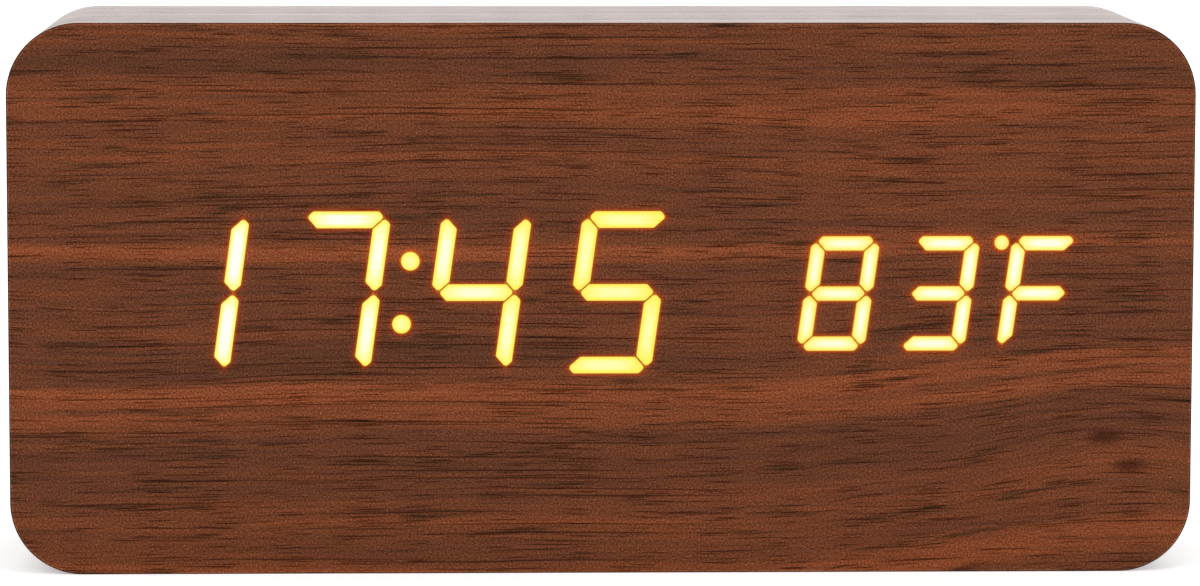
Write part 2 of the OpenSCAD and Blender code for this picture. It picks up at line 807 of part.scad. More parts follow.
module switch_bodies() {
    color("#1c1c1c") for (x = button_xs) difference() {
        block(x, button_z, button_board_back_y, button_board_back_y + switch_h, switch_w, switch_w);
        rod(x, button_z, button_board_back_y + switch_floor, button_board_back_y + switch_h + 1,
            plunger_d + 2 * plunger_gap);
    }
}

module plunger(i) {
    color("#333333") rod(button_xs[i], button_z, plunger_y, stem_y, plunger_d);
}

// Half profile of a button, from its axis outwards: a stem on the plunger, a flange behind the
// cover and a cap through it, with a round edge and a dished top
module button_profile() {
    difference() {
        union() {
            translate([0, stem_y]) square([stem_d / 2, flange_y - stem_y]);
            translate([0, flange_y]) square([flange_d / 2, flange_t]);
            translate([0, flange_y]) square([button_d / 2, button_out_y - button_edge - flange_y]);
            translate([0, flange_y]) square([button_d / 2 - button_edge, button_out_y - flange_y]);
            translate([button_d / 2 - button_edge, button_out_y - button_edge]) circle(button_edge);
        }
        translate([0, button_out_y - button_dish + dish_r]) circle(dish_r);
    }
}

module button(i) {
    color("#1e1e20") translate([button_xs[i], 0, button_z])
        rotate([-90, 0, 0]) rotate_extrude() intersection() {
            button_profile();
            square([flange_d, case_d]);
        }
}

// Inlet shell, with the two cut corners that set which way a plug goes in
module usb_outline(grow) {
    w = usb_w / 2 + grow;
    h = usb_h / 2 + grow;
    polygon([[-w, h], [w, h], [w, usb_cut - h], [w - usb_cut, -h], [usb_cut - w, -h], [-w, usb_cut - h]]);
}

module usb_socket() {
    out_y = cover_out_y - usb_in;
    color("silver") on_button_board(usb_at) difference() {
        slab(button_board_back_y, out_y) usb_outline(0);
        slab(out_y - usb_tongue_in - usb_tongue_l, out_y + 1) usb_outline(-usb_wall);
    }
}

module usb_tongue() {
    out_y = cover_out_y - usb_in;
    color("#202020") on_button_board(usb_at)
        block(0, usb_tongue_up, out_y - usb_tongue_in - usb_tongue_l, out_y - usb_tongue_in,
              usb_w * 0.6, usb_tongue_t);
}

module buzzer() {
    top_y = cover_in_y - top_gap;
    color("#181818") on_button_board(buzzer_at) difference() {
        rod(0, 0, button_board_back_y, top_y, buzzer_d);
        rod(0, 0, top_y - buzzer_hole_l, top_y + 1, buzzer_hole_d);
    }
}

module microphone() {
    top_y = cover_in_y - top_gap;
    color("silver") on_button_board(microphone_at) rod(0, 0, top_y - microphone_h, top_y, microphone_d);
}

module microphone_boot() {
    seat_y = cover_in_y - top_gap - microphone_h;
    color("#111111") on_button_board(microphone_at) difference() {
        rod(0, 0, button_board_back_y, seat_y + boot_grip, boot_d);
        rod(0, 0, seat_y, seat_y + boot_grip + 1, microphone_d);
    }
}

module thermistor() {
    bead_y = button_board_back_y + bead_up;
    color("#b5651d") on_button_board(thermistor_at) {
        translate([0, bead_y, 0]) sphere(d = bead_d);
        for (x = [-1, 1]) rod(x * bead_leg_step / 2, 0, button_board_back_y, bead_y, bead_leg_d);
    }
}

// Battery bay

function cell_z(i) = mid_z + (i - (cells - 1) / 2) * cell_pitch;
// Cells point to -X, the middle one to +X
function points_left(i) = i % 2 == 0;

module battery_cells() {
    color("#c9a227") for (i = [0:cells - 1]) {
        left = points_left(i);
        translate([bay_x + (left ? -1 : 1) * (bay_end - contact_t), cell_y, cell_z(i)])
            rotate([0, left ? 90 : -90, 0]) {
                cylinder(d = cap_d, h = cap_h + tiny);
                translate([0, 0, cap_h]) cylinder(d = cell_d, h = cell_l - cap_h - cell_foot);
                translate([0, 0, cell_l - cell_foot - tiny])
                    cylinder(d = cell_d - 2 * cell_foot_in, h = cell_foot + tiny);
            }
    }
}

// Ends with a solder tab through the floor: [x, z], the positive one first
lead_ends = [[bay_x - bay_end + contact_t / 2, cell_z(0)],
             [bay_x + bay_end - contact_t / 2, cell_z(cells - 1)]];

module contact(x, z) {
    block(x, z, contact_low_y, contact_low_y + contact_h, contact_t, contact_w);
}

// Two end contacts with solder tabs, and two that bridge a pair of cells
module contact_plates() {
    color("#c8ccd0") {
        for (q = lead_ends) {
            contact(q[0], q[1]);
            block(q[0], q[1], tab_y, contact_low_y + tiny, contact_t, tab_w);
        }
        for (k = [0, 1]) {
            x = lead_ends[1 - k][0];
            contact(x, cell_z(k));
            contact(x, cell_z(k + 1));
            block(x, (cell_z(k) + cell_z(k + 1)) / 2, contact_low_y, contact_low_y + bridge_h,
                  contact_t, cell_pitch);
        }
    }
}

// Conical springs, each one wire: straight off its plate, round a bend into the turns, and
// straight again to the cell
spring_r0 = 3.2;
spring_r1 = 1.7;
spring_bend = 0.5;
rings_per_turn = 8;
bend_rings = 3;
wire_sides = 6;
spring_end = spring_wire + spring_bend;
spring_gap = 0.1;
function polar(x, r, a) = [x, r * cos(a), r * sin(a)];
function bend_turn(f, r) = spring_bend * (1 - cos(f)) / r * 180 / PI;
function spring_path() =
    let (free = spring_l - spring_gap, n = spring_turns * rings_per_turn,
         a0 = bend_turn(90, spring_r0), a1 = a0 + 360 * spring_turns)
    concat([polar(0, spring_r0, 0)],
           [for (i = [0:bend_rings]) let (f = 90 * i / bend_rings)
               polar(spring_wire + spring_bend * sin(f), spring_r0, bend_turn(f, spring_r0))],
           [for (i = [1:n - 1]) let (u = i / n)
               polar(spring_end + u * (free - 2 * spring_end), spring_r0 + u * (spring_r1 - spring_r0),
                     a0 + u * (a1 - a0))],
           [for (i = [bend_rings:-1:0]) let (f = 90 * i / bend_rings)
               polar(free - spring_wire - spring_bend * sin(f), spring_r1,
                     a1 + a0 - bend_turn(f, spring_r1))],
           [polar(free, spring_r1, a1 + a0)]);
function unit(v) = v / norm(v);
function along(p, i) = unit(p[min(i + 1, len(p) - 1)] - p[max(i - 1, 0)]);
function ring(p, i, d) =
    let (t = along(p, i), out = unit([0, p[i].y, p[i].z]), n = unit(out - (out * t) * t), b = cross(t, n))
    [for (k = [0:wire_sides - 1]) let (a = 360 * k / wire_sides) p[i] + d / 2 * (cos(a) * n + sin(a) * b)];
// Least gap between turns, measured between points that are over half a turn apart on the wire
function wire_gap(p, d) = min([for (i = [0:len(p) - 1]) for (j = [i + rings_per_turn / 2:1:len(p) - 1])
    norm(p[i] - p[j])]) - d;

module tube(p, d) {
    n = len(p);
    points = [for (i = [0:n - 1]) each ring(p, i, d)];
    s = wire_sides;
    sides = [for (i = [0:n - 2], k = [0:s - 1]) let (a = i * s + k, b = i * s + (k + 1) % s)
        each [[a, b, b + s], [a, b + s, a + s]]];
    ends = [for (k = [1:s - 2]) each [[0, k + 1, k], [(n - 1) * s, (n - 1) * s + k, (n - 1) * s + k + 1]]];
    polyhedron(points, concat(sides, ends));
}

module battery_springs() {
    path = spring_path();
    echo(least_gap_between_spring_turns = wire_gap(path, spring_wire));
    color("#c8ccd0") for (i = [0:cells - 1]) {
        side = points_left(i) ? 1 : -1;
        translate([bay_x + side * (bay_end - contact_t), cell_y, cell_z(i)])
            rotate([0, 0, side > 0 ? 180 : 0]) tube(path, spring_wire);
    }
}

// A lead stands on the main board, cranks up or down and lies against its contact's tab
module lead(q, side, dir) {
    translate([q[0] + side * (contact_t + lead_d) / 2, 0, q[1]])
        mirror([0, 0, dir > 0 ? 0 : 1]) translate([0, 0, -lead_run - 2 * lead_bend])
            cranked(board_back_y, tab_y + tab_out - lead_end_gap, 0, lead_run + 2 * lead_bend, lead_bend)
                circle(d = lead_d);
}

module positive_lead() {
    color("#b01818") lead(lead_ends[0], -1, -1);
}

module negative_lead() {
    color("#161616") lead(lead_ends[1], 1, 1);
}

// Door: a plate with a round edge that turns under the cover, two hooks below it and a notch
// for the snap at the other end
notch_x = door_x1 - latch_t - pad_l;

module battery_door() {
    color("#26262a") difference() {
        union() {
            translate([hinge_x, door_in_y, mid_z - door_h / 2]) cube([door_x1 - hinge_x, door_t, door_h]);
            translate([hinge_x, hinge_y, mid_z - door_h / 2]) cylinder(d = door_t, h = door_h);
            for (z = hook_z) {
                translate([door_x0 - hook_reach, hook_y, z - hook_w / 2])
                    cube([hook_reach + hook_root + door_gap, hook_t, hook_w]);
                translate([door_x0 + door_gap, hook_y, z - hook_w / 2])
                    cube([hook_root, hinge_y - hook_y, hook_w]);
            }
        }
        translate([notch_x, door_in_y - 1, mid_z - latch_w / 2 - door_gap])
            cube([latch_l, door_t + 2, latch_w + 2 * door_gap]);
        for (i = [1:grips])
            block(notch_x - i * grip_step, mid_z, cover_out_y - grip_deep, cover_out_y + 1, grip_w, latch_w);
    }
}

// Snap: a strip bent to a U, with its foot under the door, a nose that catches under the cover
// and a thumb pad in the notch
module door_latch() {
    x0 = notch_x - latch_t - 2 * door_gap;
    x1 = door_x1 - latch_t;
    r = (x1 + latch_t - x0) / 2;
    low_y = door_in_y - latch_deep + r;
    color("#26262a") translate([0, 0, mid_z - latch_w / 2]) {
        translate([x0, low_y, 0]) cube([latch_t, door_in_y - low_y, latch_w]);
        translate([x0 + r, low_y, 0]) rotate([0, 0, 180]) rotate_extrude(angle = 180)
            translate([r - latch_t, 0]) square([latch_t, latch_w]);
        translate([x1, low_y, 0]) cube([latch_t, cover_out_y - low_y, latch_w]);
        translate([x1 + latch_t, cover_in_y - nose_gap - nose_h, 0]) linear_extrude(latch_w)
            polygon([[-tiny, -nose], [nose, nose_h - nose_tip], [nose, nose_h], [-tiny, nose_h]]);
        translate([notch_x + door_gap, cover_out_y - latch_t, 0])
            cube([x1 - notch_x - door_gap + tiny, latch_t, latch_w]);
    }
}

wood_case();
front_veneer();
edge_veneer();
back_cover();
cover_screws();
reflector(TIME, colon);  // time_reflector
reflector(TEMP, degree);  // temperature_reflector
lit_segments();
dark_segments();
led_chips();
main_board();
main_board_screws();
controller_chip();
display_driver();
clock_chip();
chip_legs();
crystal();
chip_resistors();
filter_capacitors();
coin_cell_holder();
coin_cell();
main_header();
ribbon_cable();
button_header();
button_board();
button_board_screws();
switch_bodies();
plunger(0);  // set_plunger
plunger(1);  // up_plunger
plunger(2);  // down_plunger
button(0);  // set_button
button(1);  // up_button
button(2);  // down_button
usb_socket();
usb_tongue();
buzzer();
microphone();
microphone_boot();
thermistor();
battery_door();
door_latch();
battery_cells();
contact_plates();
battery_springs();
positive_lead();
negative_lead();
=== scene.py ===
import json
import math

import bpy
import numpy as np
from mathutils import Matrix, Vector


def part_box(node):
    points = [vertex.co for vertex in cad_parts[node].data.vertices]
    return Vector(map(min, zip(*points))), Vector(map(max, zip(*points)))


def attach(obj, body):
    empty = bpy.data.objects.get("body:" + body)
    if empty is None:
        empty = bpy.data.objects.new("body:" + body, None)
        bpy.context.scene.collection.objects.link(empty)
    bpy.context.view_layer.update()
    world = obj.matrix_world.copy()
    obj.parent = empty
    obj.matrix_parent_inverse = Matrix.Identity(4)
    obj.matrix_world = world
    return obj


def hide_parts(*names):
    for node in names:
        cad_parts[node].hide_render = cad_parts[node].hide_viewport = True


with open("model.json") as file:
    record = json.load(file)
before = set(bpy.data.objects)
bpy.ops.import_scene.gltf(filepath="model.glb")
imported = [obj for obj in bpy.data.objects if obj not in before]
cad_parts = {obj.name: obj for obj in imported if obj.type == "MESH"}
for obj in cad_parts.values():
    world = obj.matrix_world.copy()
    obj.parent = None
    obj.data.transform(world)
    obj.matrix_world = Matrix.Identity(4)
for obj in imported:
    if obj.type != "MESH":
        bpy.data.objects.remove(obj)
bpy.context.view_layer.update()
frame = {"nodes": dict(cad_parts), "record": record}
print("frame loaded:", len(frame["nodes"]), "nodes")

scene = bpy.context.scene
scene.view_settings.view_transform = "Standard"


# small helpers for meshes, which are worked out in mm

def boxOf(node):
    # lowest and highest corner of a CAD node, in mm
    return [np.array(corner) * 1000 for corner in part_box(node)]


def closeUp(name, points, faces, body, sharpAngle=35):
    # one smooth mesh object from an array of points and a list of faces, carried by a body
    mesh = bpy.data.meshes.new(name)
    mesh.from_pydata((points / 1000).tolist(), [], faces)
    mesh.update()
    mesh.polygons.foreach_set("use_smooth", np.full(len(mesh.polygons), True))
    mesh.set_sharp_from_angle(angle=math.radians(sharpAngle))
    piece = bpy.data.objects.new(name, mesh)
    scene.collection.objects.link(piece)
    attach(piece, body)
    return piece


def gridQuads(rows, columns, wrapRows=False, wrapColumns=False, start=0):
    # four corner numbers for each cell of a rows by columns grid of points
    i = np.arange(rows if wrapRows else rows - 1)
    j = np.arange(columns if wrapColumns else columns - 1)
    i, j = (a.ravel() for a in np.meshgrid(i, j, indexing="ij"))
    iNext, jNext = (i + 1) % rows, (j + 1) % columns
    corners = ((i, j), (i, jNext), (iNext, jNext), (iNext, j))
    return np.stack([row * columns + column for row, column in corners], 1) + start


def pointValue(piece, name, values):
    # one number for each point, for a material to read by name
    layer = piece.data.attributes.new(name, "FLOAT", "POINT")
    layer.data.foreach_set("value", np.asarray(values, np.float32))


def placeBy(right, up, back, place):
    # the matrix of an object whose own axes point right, up and back
    turn = np.eye(4)
    turn[:3] = np.stack([right, up, back, place], 1)
    return Matrix(turn.tolist())


# small helpers for materials

def srgb(text):
    # "b87a4c" as a linear colour
    c = np.array([int(text[k:k + 2], 16) for k in (0, 2, 4)]) / 255
    c = np.where(c <= 0.04045, c / 12.92, ((c + 0.055) / 1.055) ** 2.4)
    return (*c.tolist(), 1.0)


def wire(tree, node, inputs):
    # another node's socket is linked to an input, and any other value is set on it
    for key, value in inputs.items():
        if isinstance(value, bpy.types.NodeSocket):
            tree.links.new(value, node.inputs[key])
        else:
            node.inputs[key].default_value = value
    return node


def put(tree, kind, inputs=None, **settings):
    node = tree.nodes.new("ShaderNode" + kind)
    for key, value in settings.items():
        setattr(node, key, value)
    return wire(tree, node, inputs or {})


def calc(tree, operation, a, b=0.0, c=0.0, clamp=False):
    return put(tree, "Math", {0: a, 1: b, 2: c}, operation=operation, use_clamp=clamp).outputs[0]


def stretch(tree, vector, scale, place=(0, 0, 0)):
    return put(tree, "Mapping", {"Vector": vector, "Scale": scale, "Location": place}).outputs[0]


def noise(tree, vector, scale=1.0, detail=3.0, roughness=0.6):
    return put(tree, "TexNoise", {"Vector": vector, "Scale": scale, "Detail": detail,
                                  "Roughness": roughness}).outputs[0]


def fit(tree, value, low, high, newLow=0.0, newHigh=1.0, smooth=False):
    kind = "SMOOTHSTEP" if smooth else "LINEAR"
    return put(tree, "MapRange", {"Value": value, 1: low, 2: high, 3: newLow, 4: newHigh},
               interpolation_type=kind).outputs[0]


def spread(tree, value, low=0.0, high=1.0):
    # nearly all of a noise lies between 0.3 and 0.7
    return fit(tree, value, 0.3, 0.7, low, high)


def blend(tree, factor, a, b, how="MIX"):
    return put(tree, "Mix", {0: factor, 6: a, 7: b}, data_type="RGBA", blend_type=how,
               clamp_factor=how == "MIX").outputs[2]


def ramp(tree, value, stops, curve="LINEAR"):
    node = put(tree, "ValToRGB", {0: value})
    node.color_ramp.interpolation = curve
    while len(node.color_ramp.elements) < len(stops):
        node.color_ramp.elements.new(1.0)
    for stop, (place, colour) in zip(node.color_ramp.elements, stops):
        stop.position = place
        stop.color = srgb(colour) if isinstance(colour, str) else (colour, colour, colour, 1.0)
    return node.outputs[0]


def bump(tree, height, distance, strength):
    return put(tree, "Bump", {"Height": height, "Distance": distance, "Strength": strength}).outputs[0]


def objectPlace(tree):
    return put(tree, "TexCoord").outputs["Object"]


def apart(tree, vector):
    # x, y and z of a vector
    return put(tree, "SeparateXYZ", {0: vector}).outputs


def normalAlong(tree, axis):
    return apart(tree, put(tree, "TexCoord").outputs["Normal"])[axis]


def pointRead(tree, name):
    return put(tree, "Attribute", attribute_name=name).outputs["Fac"]


def newGroup(name, inputs, outputs):
    tree = bpy.data.node_groups.new(name, "ShaderNodeTree")
    for way, sockets in (("INPUT", inputs), ("OUTPUT", outputs)):
        for label, kind in sockets:
            tree.interface.new_socket(label, in_out=way, socket_type="NodeSocket" + kind)
    return tree, tree.nodes.new("NodeGroupInput").outputs, tree.nodes.new("NodeGroupOutput")


def useGroup(tree, group, inputs):
    return put(tree, "Group", inputs, node_tree=group).outputs


def newMaterial(name):
    material = bpy.data.materials.new(name)
    material.use_nodes = True
    tree = material.node_tree
    return material, tree, tree.nodes["Principled BSDF"]


# camera at the photograph's place

cameraSet = {
    "place": (-0.02043, -0.66897, 0.10669),
    "yaw": 1.774,  # degrees to the right of straight ahead
    "pitch": 6.229,  # degrees down
    "roll": 0.099,
    "lens": 154.99,
    "sensor": 36.0,
    "clip": (0.01, 30),
}


def addCamera(s):
    yaw, pitch, roll = (math.radians(s[k]) for k in ("yaw", "pitch", "roll"))
    level = np.array([math.sin(yaw), math.cos(yaw), 0])
    ahead = level * math.cos(pitch) - np.array([0, 0, math.sin(pitch)])
    right = np.array([math.cos(yaw), -math.sin(yaw), 0])
    up = np.cross(right, ahead)
    right, up = math.cos(roll) * right + math.sin(roll) * up, math.cos(roll) * up - math.sin(roll) * right
    data = bpy.data.cameras.new("camera")
    data.sensor_fit, data.sensor_width, data.lens = "HORIZONTAL", s["sensor"], s["lens"]
    data.clip_start, data.clip_end = s["clip"]
    camera = bpy.data.objects.new("camera", data)
    camera.matrix_world = placeBy(right, up, -ahead, s["place"])
    scene.collection.objects.link(camera)
    scene.camera = camera


addCamera(cameraSet)
print("camera set")


# walnut figure: bands across the grain, dark lines and pores along it

walnutSet = {
    "bands": [(-7, 0.42), (-3.6, 0.48), (-2.6, 0.82), (0.4, 0.74), (1.8, 0.44), (4.4, 0.46), (6.6, 0.64),
              (8.4, 0.46), (12.5, 0.28), (17.4, 0.30), (18.8, 0.66), (20.0, 0.80), (21.1, 0.56), (22.0, 0.80),
              (23.8, 0.90), (24.8, 0.40), (27.0, 0.24), (31.5, 0.36), (39.5, 0.38), (40.1, 0.84), (41.3, 0.86),
              (42.1, 0.42), (44.5, 0.28), (50.0, 0.44), (57.0, 0.44), (58.2, 0.76), (59.6, 0.72), (60.4, 0.50),
              (61.2, 0.64), (62.0, 0.40), (64.0, 0.28), (70.0, 0.40)],  # line of growth in mm, level
    "bandShare": 0.74,  # of the bands in the shade
    "base": -0.80,  # added to the shade, so that its middle comes to half
    "shades": [(0.0, "51301f"), (0.25, "5d3522"), (0.50, "6e3c24"), (0.75, "814427"), (1.0, "904d2c")],
    "sway": [(0.009, 0.05, 3.0), (0.06, 0.4, 0.45)],  # waves along and across per mm, mm of sway
    "arches": [(75, 10, 66, 52, 6.4, 0.25), (64, 17, 24, 13, 2.2, 1.0), (-10, 50, 60, 9, 1.2, 1.0),
               (-62, 30, 30, 14, -1.0, 1.0)],  # x, z, half sizes, rise, how far the pores follow it
    "streaks": [("growth", (0.012, 0.30, 1), (0, 0, 0), 3, 0.75), ("grain", (0.035, 1.5, 1), (0, 0, 0), 3, 0.65),
                ("grain", (0.025, 3.4, 1), (2, 5, 0), 2, 0.45)],  # line, waves per mm, start, detail, share
    "clump": ((0.07, 0.75, 1), (4, 9, 0)),  # waves per mm, start
    "smudge": (0.54, 0.72),  # the clumps that are smudged, from and to
    "smudgeDark": -0.15,  # what a smudge adds to the shade
    "smudgeShare": 0.70,
    "smudgeTint": (0.50, 0.57, 0.46, 1),  # what a full smudge leaves of the colour
    "strokes": [(120.0, 0.60, 0.20, 0.82, 0.74), (24.0, 0.42, 0.22, 0.86, 0.82),
                (9.0, 0.30, 0.25, 0.90, 0.90)],  # length and height of a cell, thickness, chance left out, depth
    "strokeCore": 0.55,  # the dark middle's share of the thickness
    "strokeOwn": 0.6,  # share of a stroke's own luck in its chance
    "strokeClump": 1.3,  # and of the clump it lies in
    "strokeRise": 0.22,  # chance from faint to full depth
    "strokeStart": (3.1, 7.7, 0),  # from one set of strokes to the next
    "knots": [(67.0, 13.6, 3.0, 1.4), (64.0, 17.4, 3.4, 1.6), (52.0, 42.0, 4.0, 1.0)],  # x, z, half sizes
    "knotDepth": (0.8, 0.7),  # how far in it is darkest, depth there
    "dark": (0.20, 0.13, 0.02, 1),  # what a line leaves of the colour, and what the painted shade at the foil's edge leaves of it
    "stipple": 4.5,  # raised grains per mm
    "stippleTone": (0.32, 0.68, -0.42, 0.42),
    "glints": (0.66, 0.76, 0, 0.7),
    "stippleRelief": 0.25,  # beside the depth of the lines
    "sheen": (1.85, 2.90, 4.40, 1),  # painted sheen: what a grain that catches the light makes of the colour
    "rough": (0.22, 0.40),  # between the lines and in them
}


def oval(tree, flat, x, z, halfX, halfZ):
    # 1 in the middle, falling evenly to 0 at the rim
    place = stretch(tree, flat, (1 / halfX, 1 / halfZ, 0), (-x / halfX, -z / halfZ, 0))
    return put(tree, "TexGradient", {0: place}, gradient_type="SPHERICAL").outputs[1]


def strokesIn(tree, grain, clump, stroke, start, s):
    # scattered spindles: one to a cell, kept where its own random number and the clumps add up to enough
    long, tall, thick, skip, depth = stroke
    cell = put(tree, "TexVoronoi", {"Vector": stretch(tree, grain, (1 / long, 1 / tall, 1), start), "Scale": 1.0},
               voronoi_dimensions="2D").outputs
    near = fit(tree, cell["Distance"], thick, thick * s["strokeCore"], 0, 1, True)
    luck = put(tree, "SeparateColor", {0: cell["Color"]}).outputs[0]
    chance = calc(tree, "MULTIPLY_ADD", clump, s["strokeClump"], calc(tree, "MULTIPLY", luck, s["strokeOwn"]))
    return calc(tree, "MULTIPLY", near, fit(tree, chance, skip, skip + s["strokeRise"], 0, depth))


def walnutGroup(s):
    tree, given, made = newGroup("walnutFigure", [("Place", "Vector")],
                                 [("Color", "Color"), ("Height", "Float"), ("Rough", "Float"), ("Dim", "Float"),
                                  ("Tone", "Float")])
    inMm = put(tree, "VectorMath", {0: given["Place"], 3: 1000.0}, operation="SCALE").outputs[0]
    x, _, line = apart(tree, inMm)
    flat = put(tree, "CombineXYZ", {0: x, 1: line}).outputs[0]
    # growth and pores sway with two noises; growth rises in arches that the pores only partly follow:
    # line = z + sway - each arch's dome
    for along, across, reach in s["sway"]:
        wave = noise(tree, stretch(tree, flat, (along, across, 1)), detail=2, roughness=0.5)
        line = calc(tree, "MULTIPLY_ADD", calc(tree, "SUBTRACT", wave, 0.5), reach, line)
    pore = line
    for ax, az, halfX, halfZ, rise, share in s["arches"]:
        dome = oval(tree, flat, ax, az, halfX, halfZ)
        line = calc(tree, "SUBTRACT", line, fit(tree, dome, 0, 1, 0, rise, True))
        pore = calc(tree, "SUBTRACT", pore, fit(tree, dome, 0, 1, 0, rise * share, True))
    lines = {"growth": put(tree, "CombineXYZ", {0: x, 1: line}).outputs[0],
             "grain": put(tree, "CombineXYZ", {0: x, 1: pore}).outputs[0]}
    # shade: bands by their line of growth, streaks, and soft smudges
    low, high = s["bands"][0][0], s["bands"][-1][0]
    stops = [((mm - low) / (high - low), level) for mm, level in s["bands"]]
    band = ramp(tree, fit(tree, line, low, high), stops, "EASE")
    shade = calc(tree, "MULTIPLY_ADD", band, s["bandShare"], s["base"])
    for follows, waves, start, detail, share in s["streaks"]:
        streak = noise(tree, stretch(tree, lines[follows], waves, start), detail=detail)
        shade = calc(tree, "MULTIPLY_ADD", streak, share, shade)
    clump = noise(tree, stretch(tree, lines["growth"], *s["clump"]))
    smudge = fit(tree, clump, *s["smudge"], 0, 1, True)
    shade = calc(tree, "MULTIPLY_ADD", smudge, s["smudgeDark"], shade)
    colour = ramp(tree, shade, s["shades"])
    colour = blend(tree, calc(tree, "MULTIPLY", smudge, s["smudgeShare"]), colour, s["smudgeTint"], "MULTIPLY")
    # dark lines: long, middling and short strokes, closer together in the smudges, and small oval knots
    left = 1.0
    for k, stroke in enumerate(s["strokes"]):
        drawn = strokesIn(tree, lines["grain"], clump, stroke, tuple(k * c for c in s["strokeStart"]), s)
        left = calc(tree, "MULTIPLY", left, calc(tree, "SUBTRACT", 1.0, drawn))
    dim = calc(tree, "SUBTRACT", 1.0, left)
    inside, depth = s["knotDepth"]
    for knot in s["knots"]:
        dim = calc(tree, "MAXIMUM", dim, fit(tree, oval(tree, flat, *knot), 0, inside, 0, depth, True))
    colour = blend(tree, dim, colour, s["dark"], "MULTIPLY")
    # painted sheen: grains between the lines are made paler as if they catch the light, a few of them strongly as
    # painted glints
    stipple = noise(tree, flat, s["stipple"], 2)
    paintedSheen = calc(tree, "ADD", fit(tree, stipple, *s["stippleTone"]), fit(tree, stipple, *s["glints"]))
    colour = blend(tree, paintedSheen, colour, s["sheen"], "MULTIPLY")
    height = calc(tree, "MULTIPLY_ADD", stipple, s["stippleRelief"], calc(tree, "MULTIPLY", dim, -1.0))
    wire(tree, made, {"Color": colour, "Height": height, "Rough": fit(tree, dim, 0, 1, *s["rough"]), "Dim": dim,
                      "Tone": shade})
    return tree


walnut = walnutGroup(walnutSet)
print("walnut figure made")


# lit digits: the same slanted seven segments as the lenses behind the face

digitSet = {
    "lit": {"1": "bc", "7": "abc", "4": "bcfg", "5": "acdfg", "8": "abcdefg", "3": "abcdg", "F": "aefg"},
    "lean": 8.0,  # degrees
    "sharpCut": 0.35,  # corners cut off, in widths of a segment
    "bluntCut": 0.33,
    "tipOut": 0.1,  # the middle tips lie outside the side segments' middles, in widths of a segment
    "corner": 0.50,  # rounding of a segment's corners
    "spread": 0.06,  # how far the light spreads past its lens
    "dotSpread": 0.13,
    "cornerSteps": 5,
    "dotSteps": 24,
    "step": 0.35,  # between points along a segment's edges
    "leastShare": 1 / 12,  # points closer than this share of a step are left out
    "dotOff": 0.8,  # a dot's glow, as that far along a segment
    "spineEnd": 0.8,  # the spine stops that many half widths before the tips
    "spineFrom": 1.2,  # a patch that is hardly longer than wide has a point for its spine
    "rings": [0.0, 0.3, 0.55, 0.74, 0.88, 1.0],  # share of the way from spine to rim
    "proud": 0.015,
    "time": {"x": -24.85, "z": 35.9, "high": 20.6, "wide": 11.4, "bar": 2.1, "gap": 0.20, "pitch": 17.78,
             "text": "1745"},
    "temperature": {"x": 42.55, "z": 35.7, "high": 14.6, "wide": 8.7, "bar": 1.85, "gap": 0.15, "pitch": 12.7,
                    "text": "83F"},
    "colon": (2.2, 8.0),  # diameter, distance
    "degree": (1.7, 0.42),  # diameter, gap to the unit
}
sheetLow, sheetHigh = boxOf("front_veneer")


def segmentCorners(name, halfW, halfH, bar, gap, s):
    # corners of one upright segment: mitred at its ends, with the digit's outer corners cut off
    m = gap / math.sqrt(2)
    half, out = bar / 2, bar * s["tipOut"]
    if name == "g":
        tip, flat = halfW + out - m, halfW + out - m - half
        return np.array([(-tip, 0), (-flat, half), (flat, half), (tip, 0), (flat, -half), (-flat, -half)])
    if name in "ad":
        a, b = s["sharpCut"] * bar, s["bluntCut"] * bar
        reach, top = halfW + half - m, halfH + half
        p = np.array([(half + m - halfW, halfH - half), (b - reach, top - b), (2 * b - reach, top),
                      (reach - 2 * a, top), (reach - a, top - a), (halfW - half - m, halfH - half)])
        return p if name == "a" else -p
    cut = bar * (s["sharpCut"] if name in "be" else s["bluntCut"])
    side, top = halfW + half, halfH + half - m
    p = np.array([(halfW - half, halfH - half - m), (side - cut, top - cut), (side, top - 2 * cut),
                  (side, half + m - out), (halfW + out, m), (halfW - half, half + m + out)])
    return p * {"b": (1, 1), "c": (1, -1), "e": (-1, -1), "f": (-1, 1)}[name]


def displayOutlines(d, s):
    # every lit segment of a display as [corner, x or z], leaning and turned anticlockwise
    halfW, halfH = (d["wide"] - d["bar"]) / 2, (d["high"] - d["bar"]) / 2
    found = []
    for place, sign in enumerate(d["text"]):
        middle = d["x"] + (place - (len(d["text"]) - 1) / 2) * d["pitch"]
        for name in s["lit"][sign]:
            p = segmentCorners(name, halfW, halfH, d["bar"], d["gap"], s)
            p = np.stack([p[:, 0] + p[:, 1] * lean + middle, p[:, 1] + d["z"]], 1)
            after = np.roll(p, -1, 0)
            area = (p[:, 0] * after[:, 1] - after[:, 0] * p[:, 1]).sum()
            found.append(p if area > 0 else p[::-1])
    return found


def dotOutline(x, z, diameter, steps):
    # a circle: the middle plus half a diameter at even angles
    turn = np.arange(steps) * 2 * np.pi / steps
    return np.stack([x + np.cos(turn) * diameter / 2, z + np.sin(turn) * diameter / 2], 1)


def edgeNormals(p):
    # each edge's direction turned a quarter clockwise, which is outwards
    along = np.roll(p, -1, 0) - p
    along /= np.linalg.norm(along, axis=1, keepdims=True)
    return np.stack([along[:, 1], -along[:, 0]], 1)


def roundedOutline(p, radius, steps, grow):
    # each edge moves in by the radius less the growth, and an arc of that radius turns from one edge's
    # normal to the next
    normal = edgeNormals(p)
    before = np.roll(normal, 1, 0)
    inner = p - (radius - grow) * (before + normal) / (1 + (before * normal).sum(1, keepdims=True))
    start = np.arctan2(before[:, 1], before[:, 0])
    sweep = (np.arctan2(normal[:, 1], normal[:, 0]) - start) % (2 * np.pi)
    angle = start[:, None] + sweep[:, None] * np.linspace(0, 1, steps)
    arc = inner[:, None] + radius * np.stack([np.cos(angle), np.sin(angle)], 2)
    return arc.reshape(-1, 2)


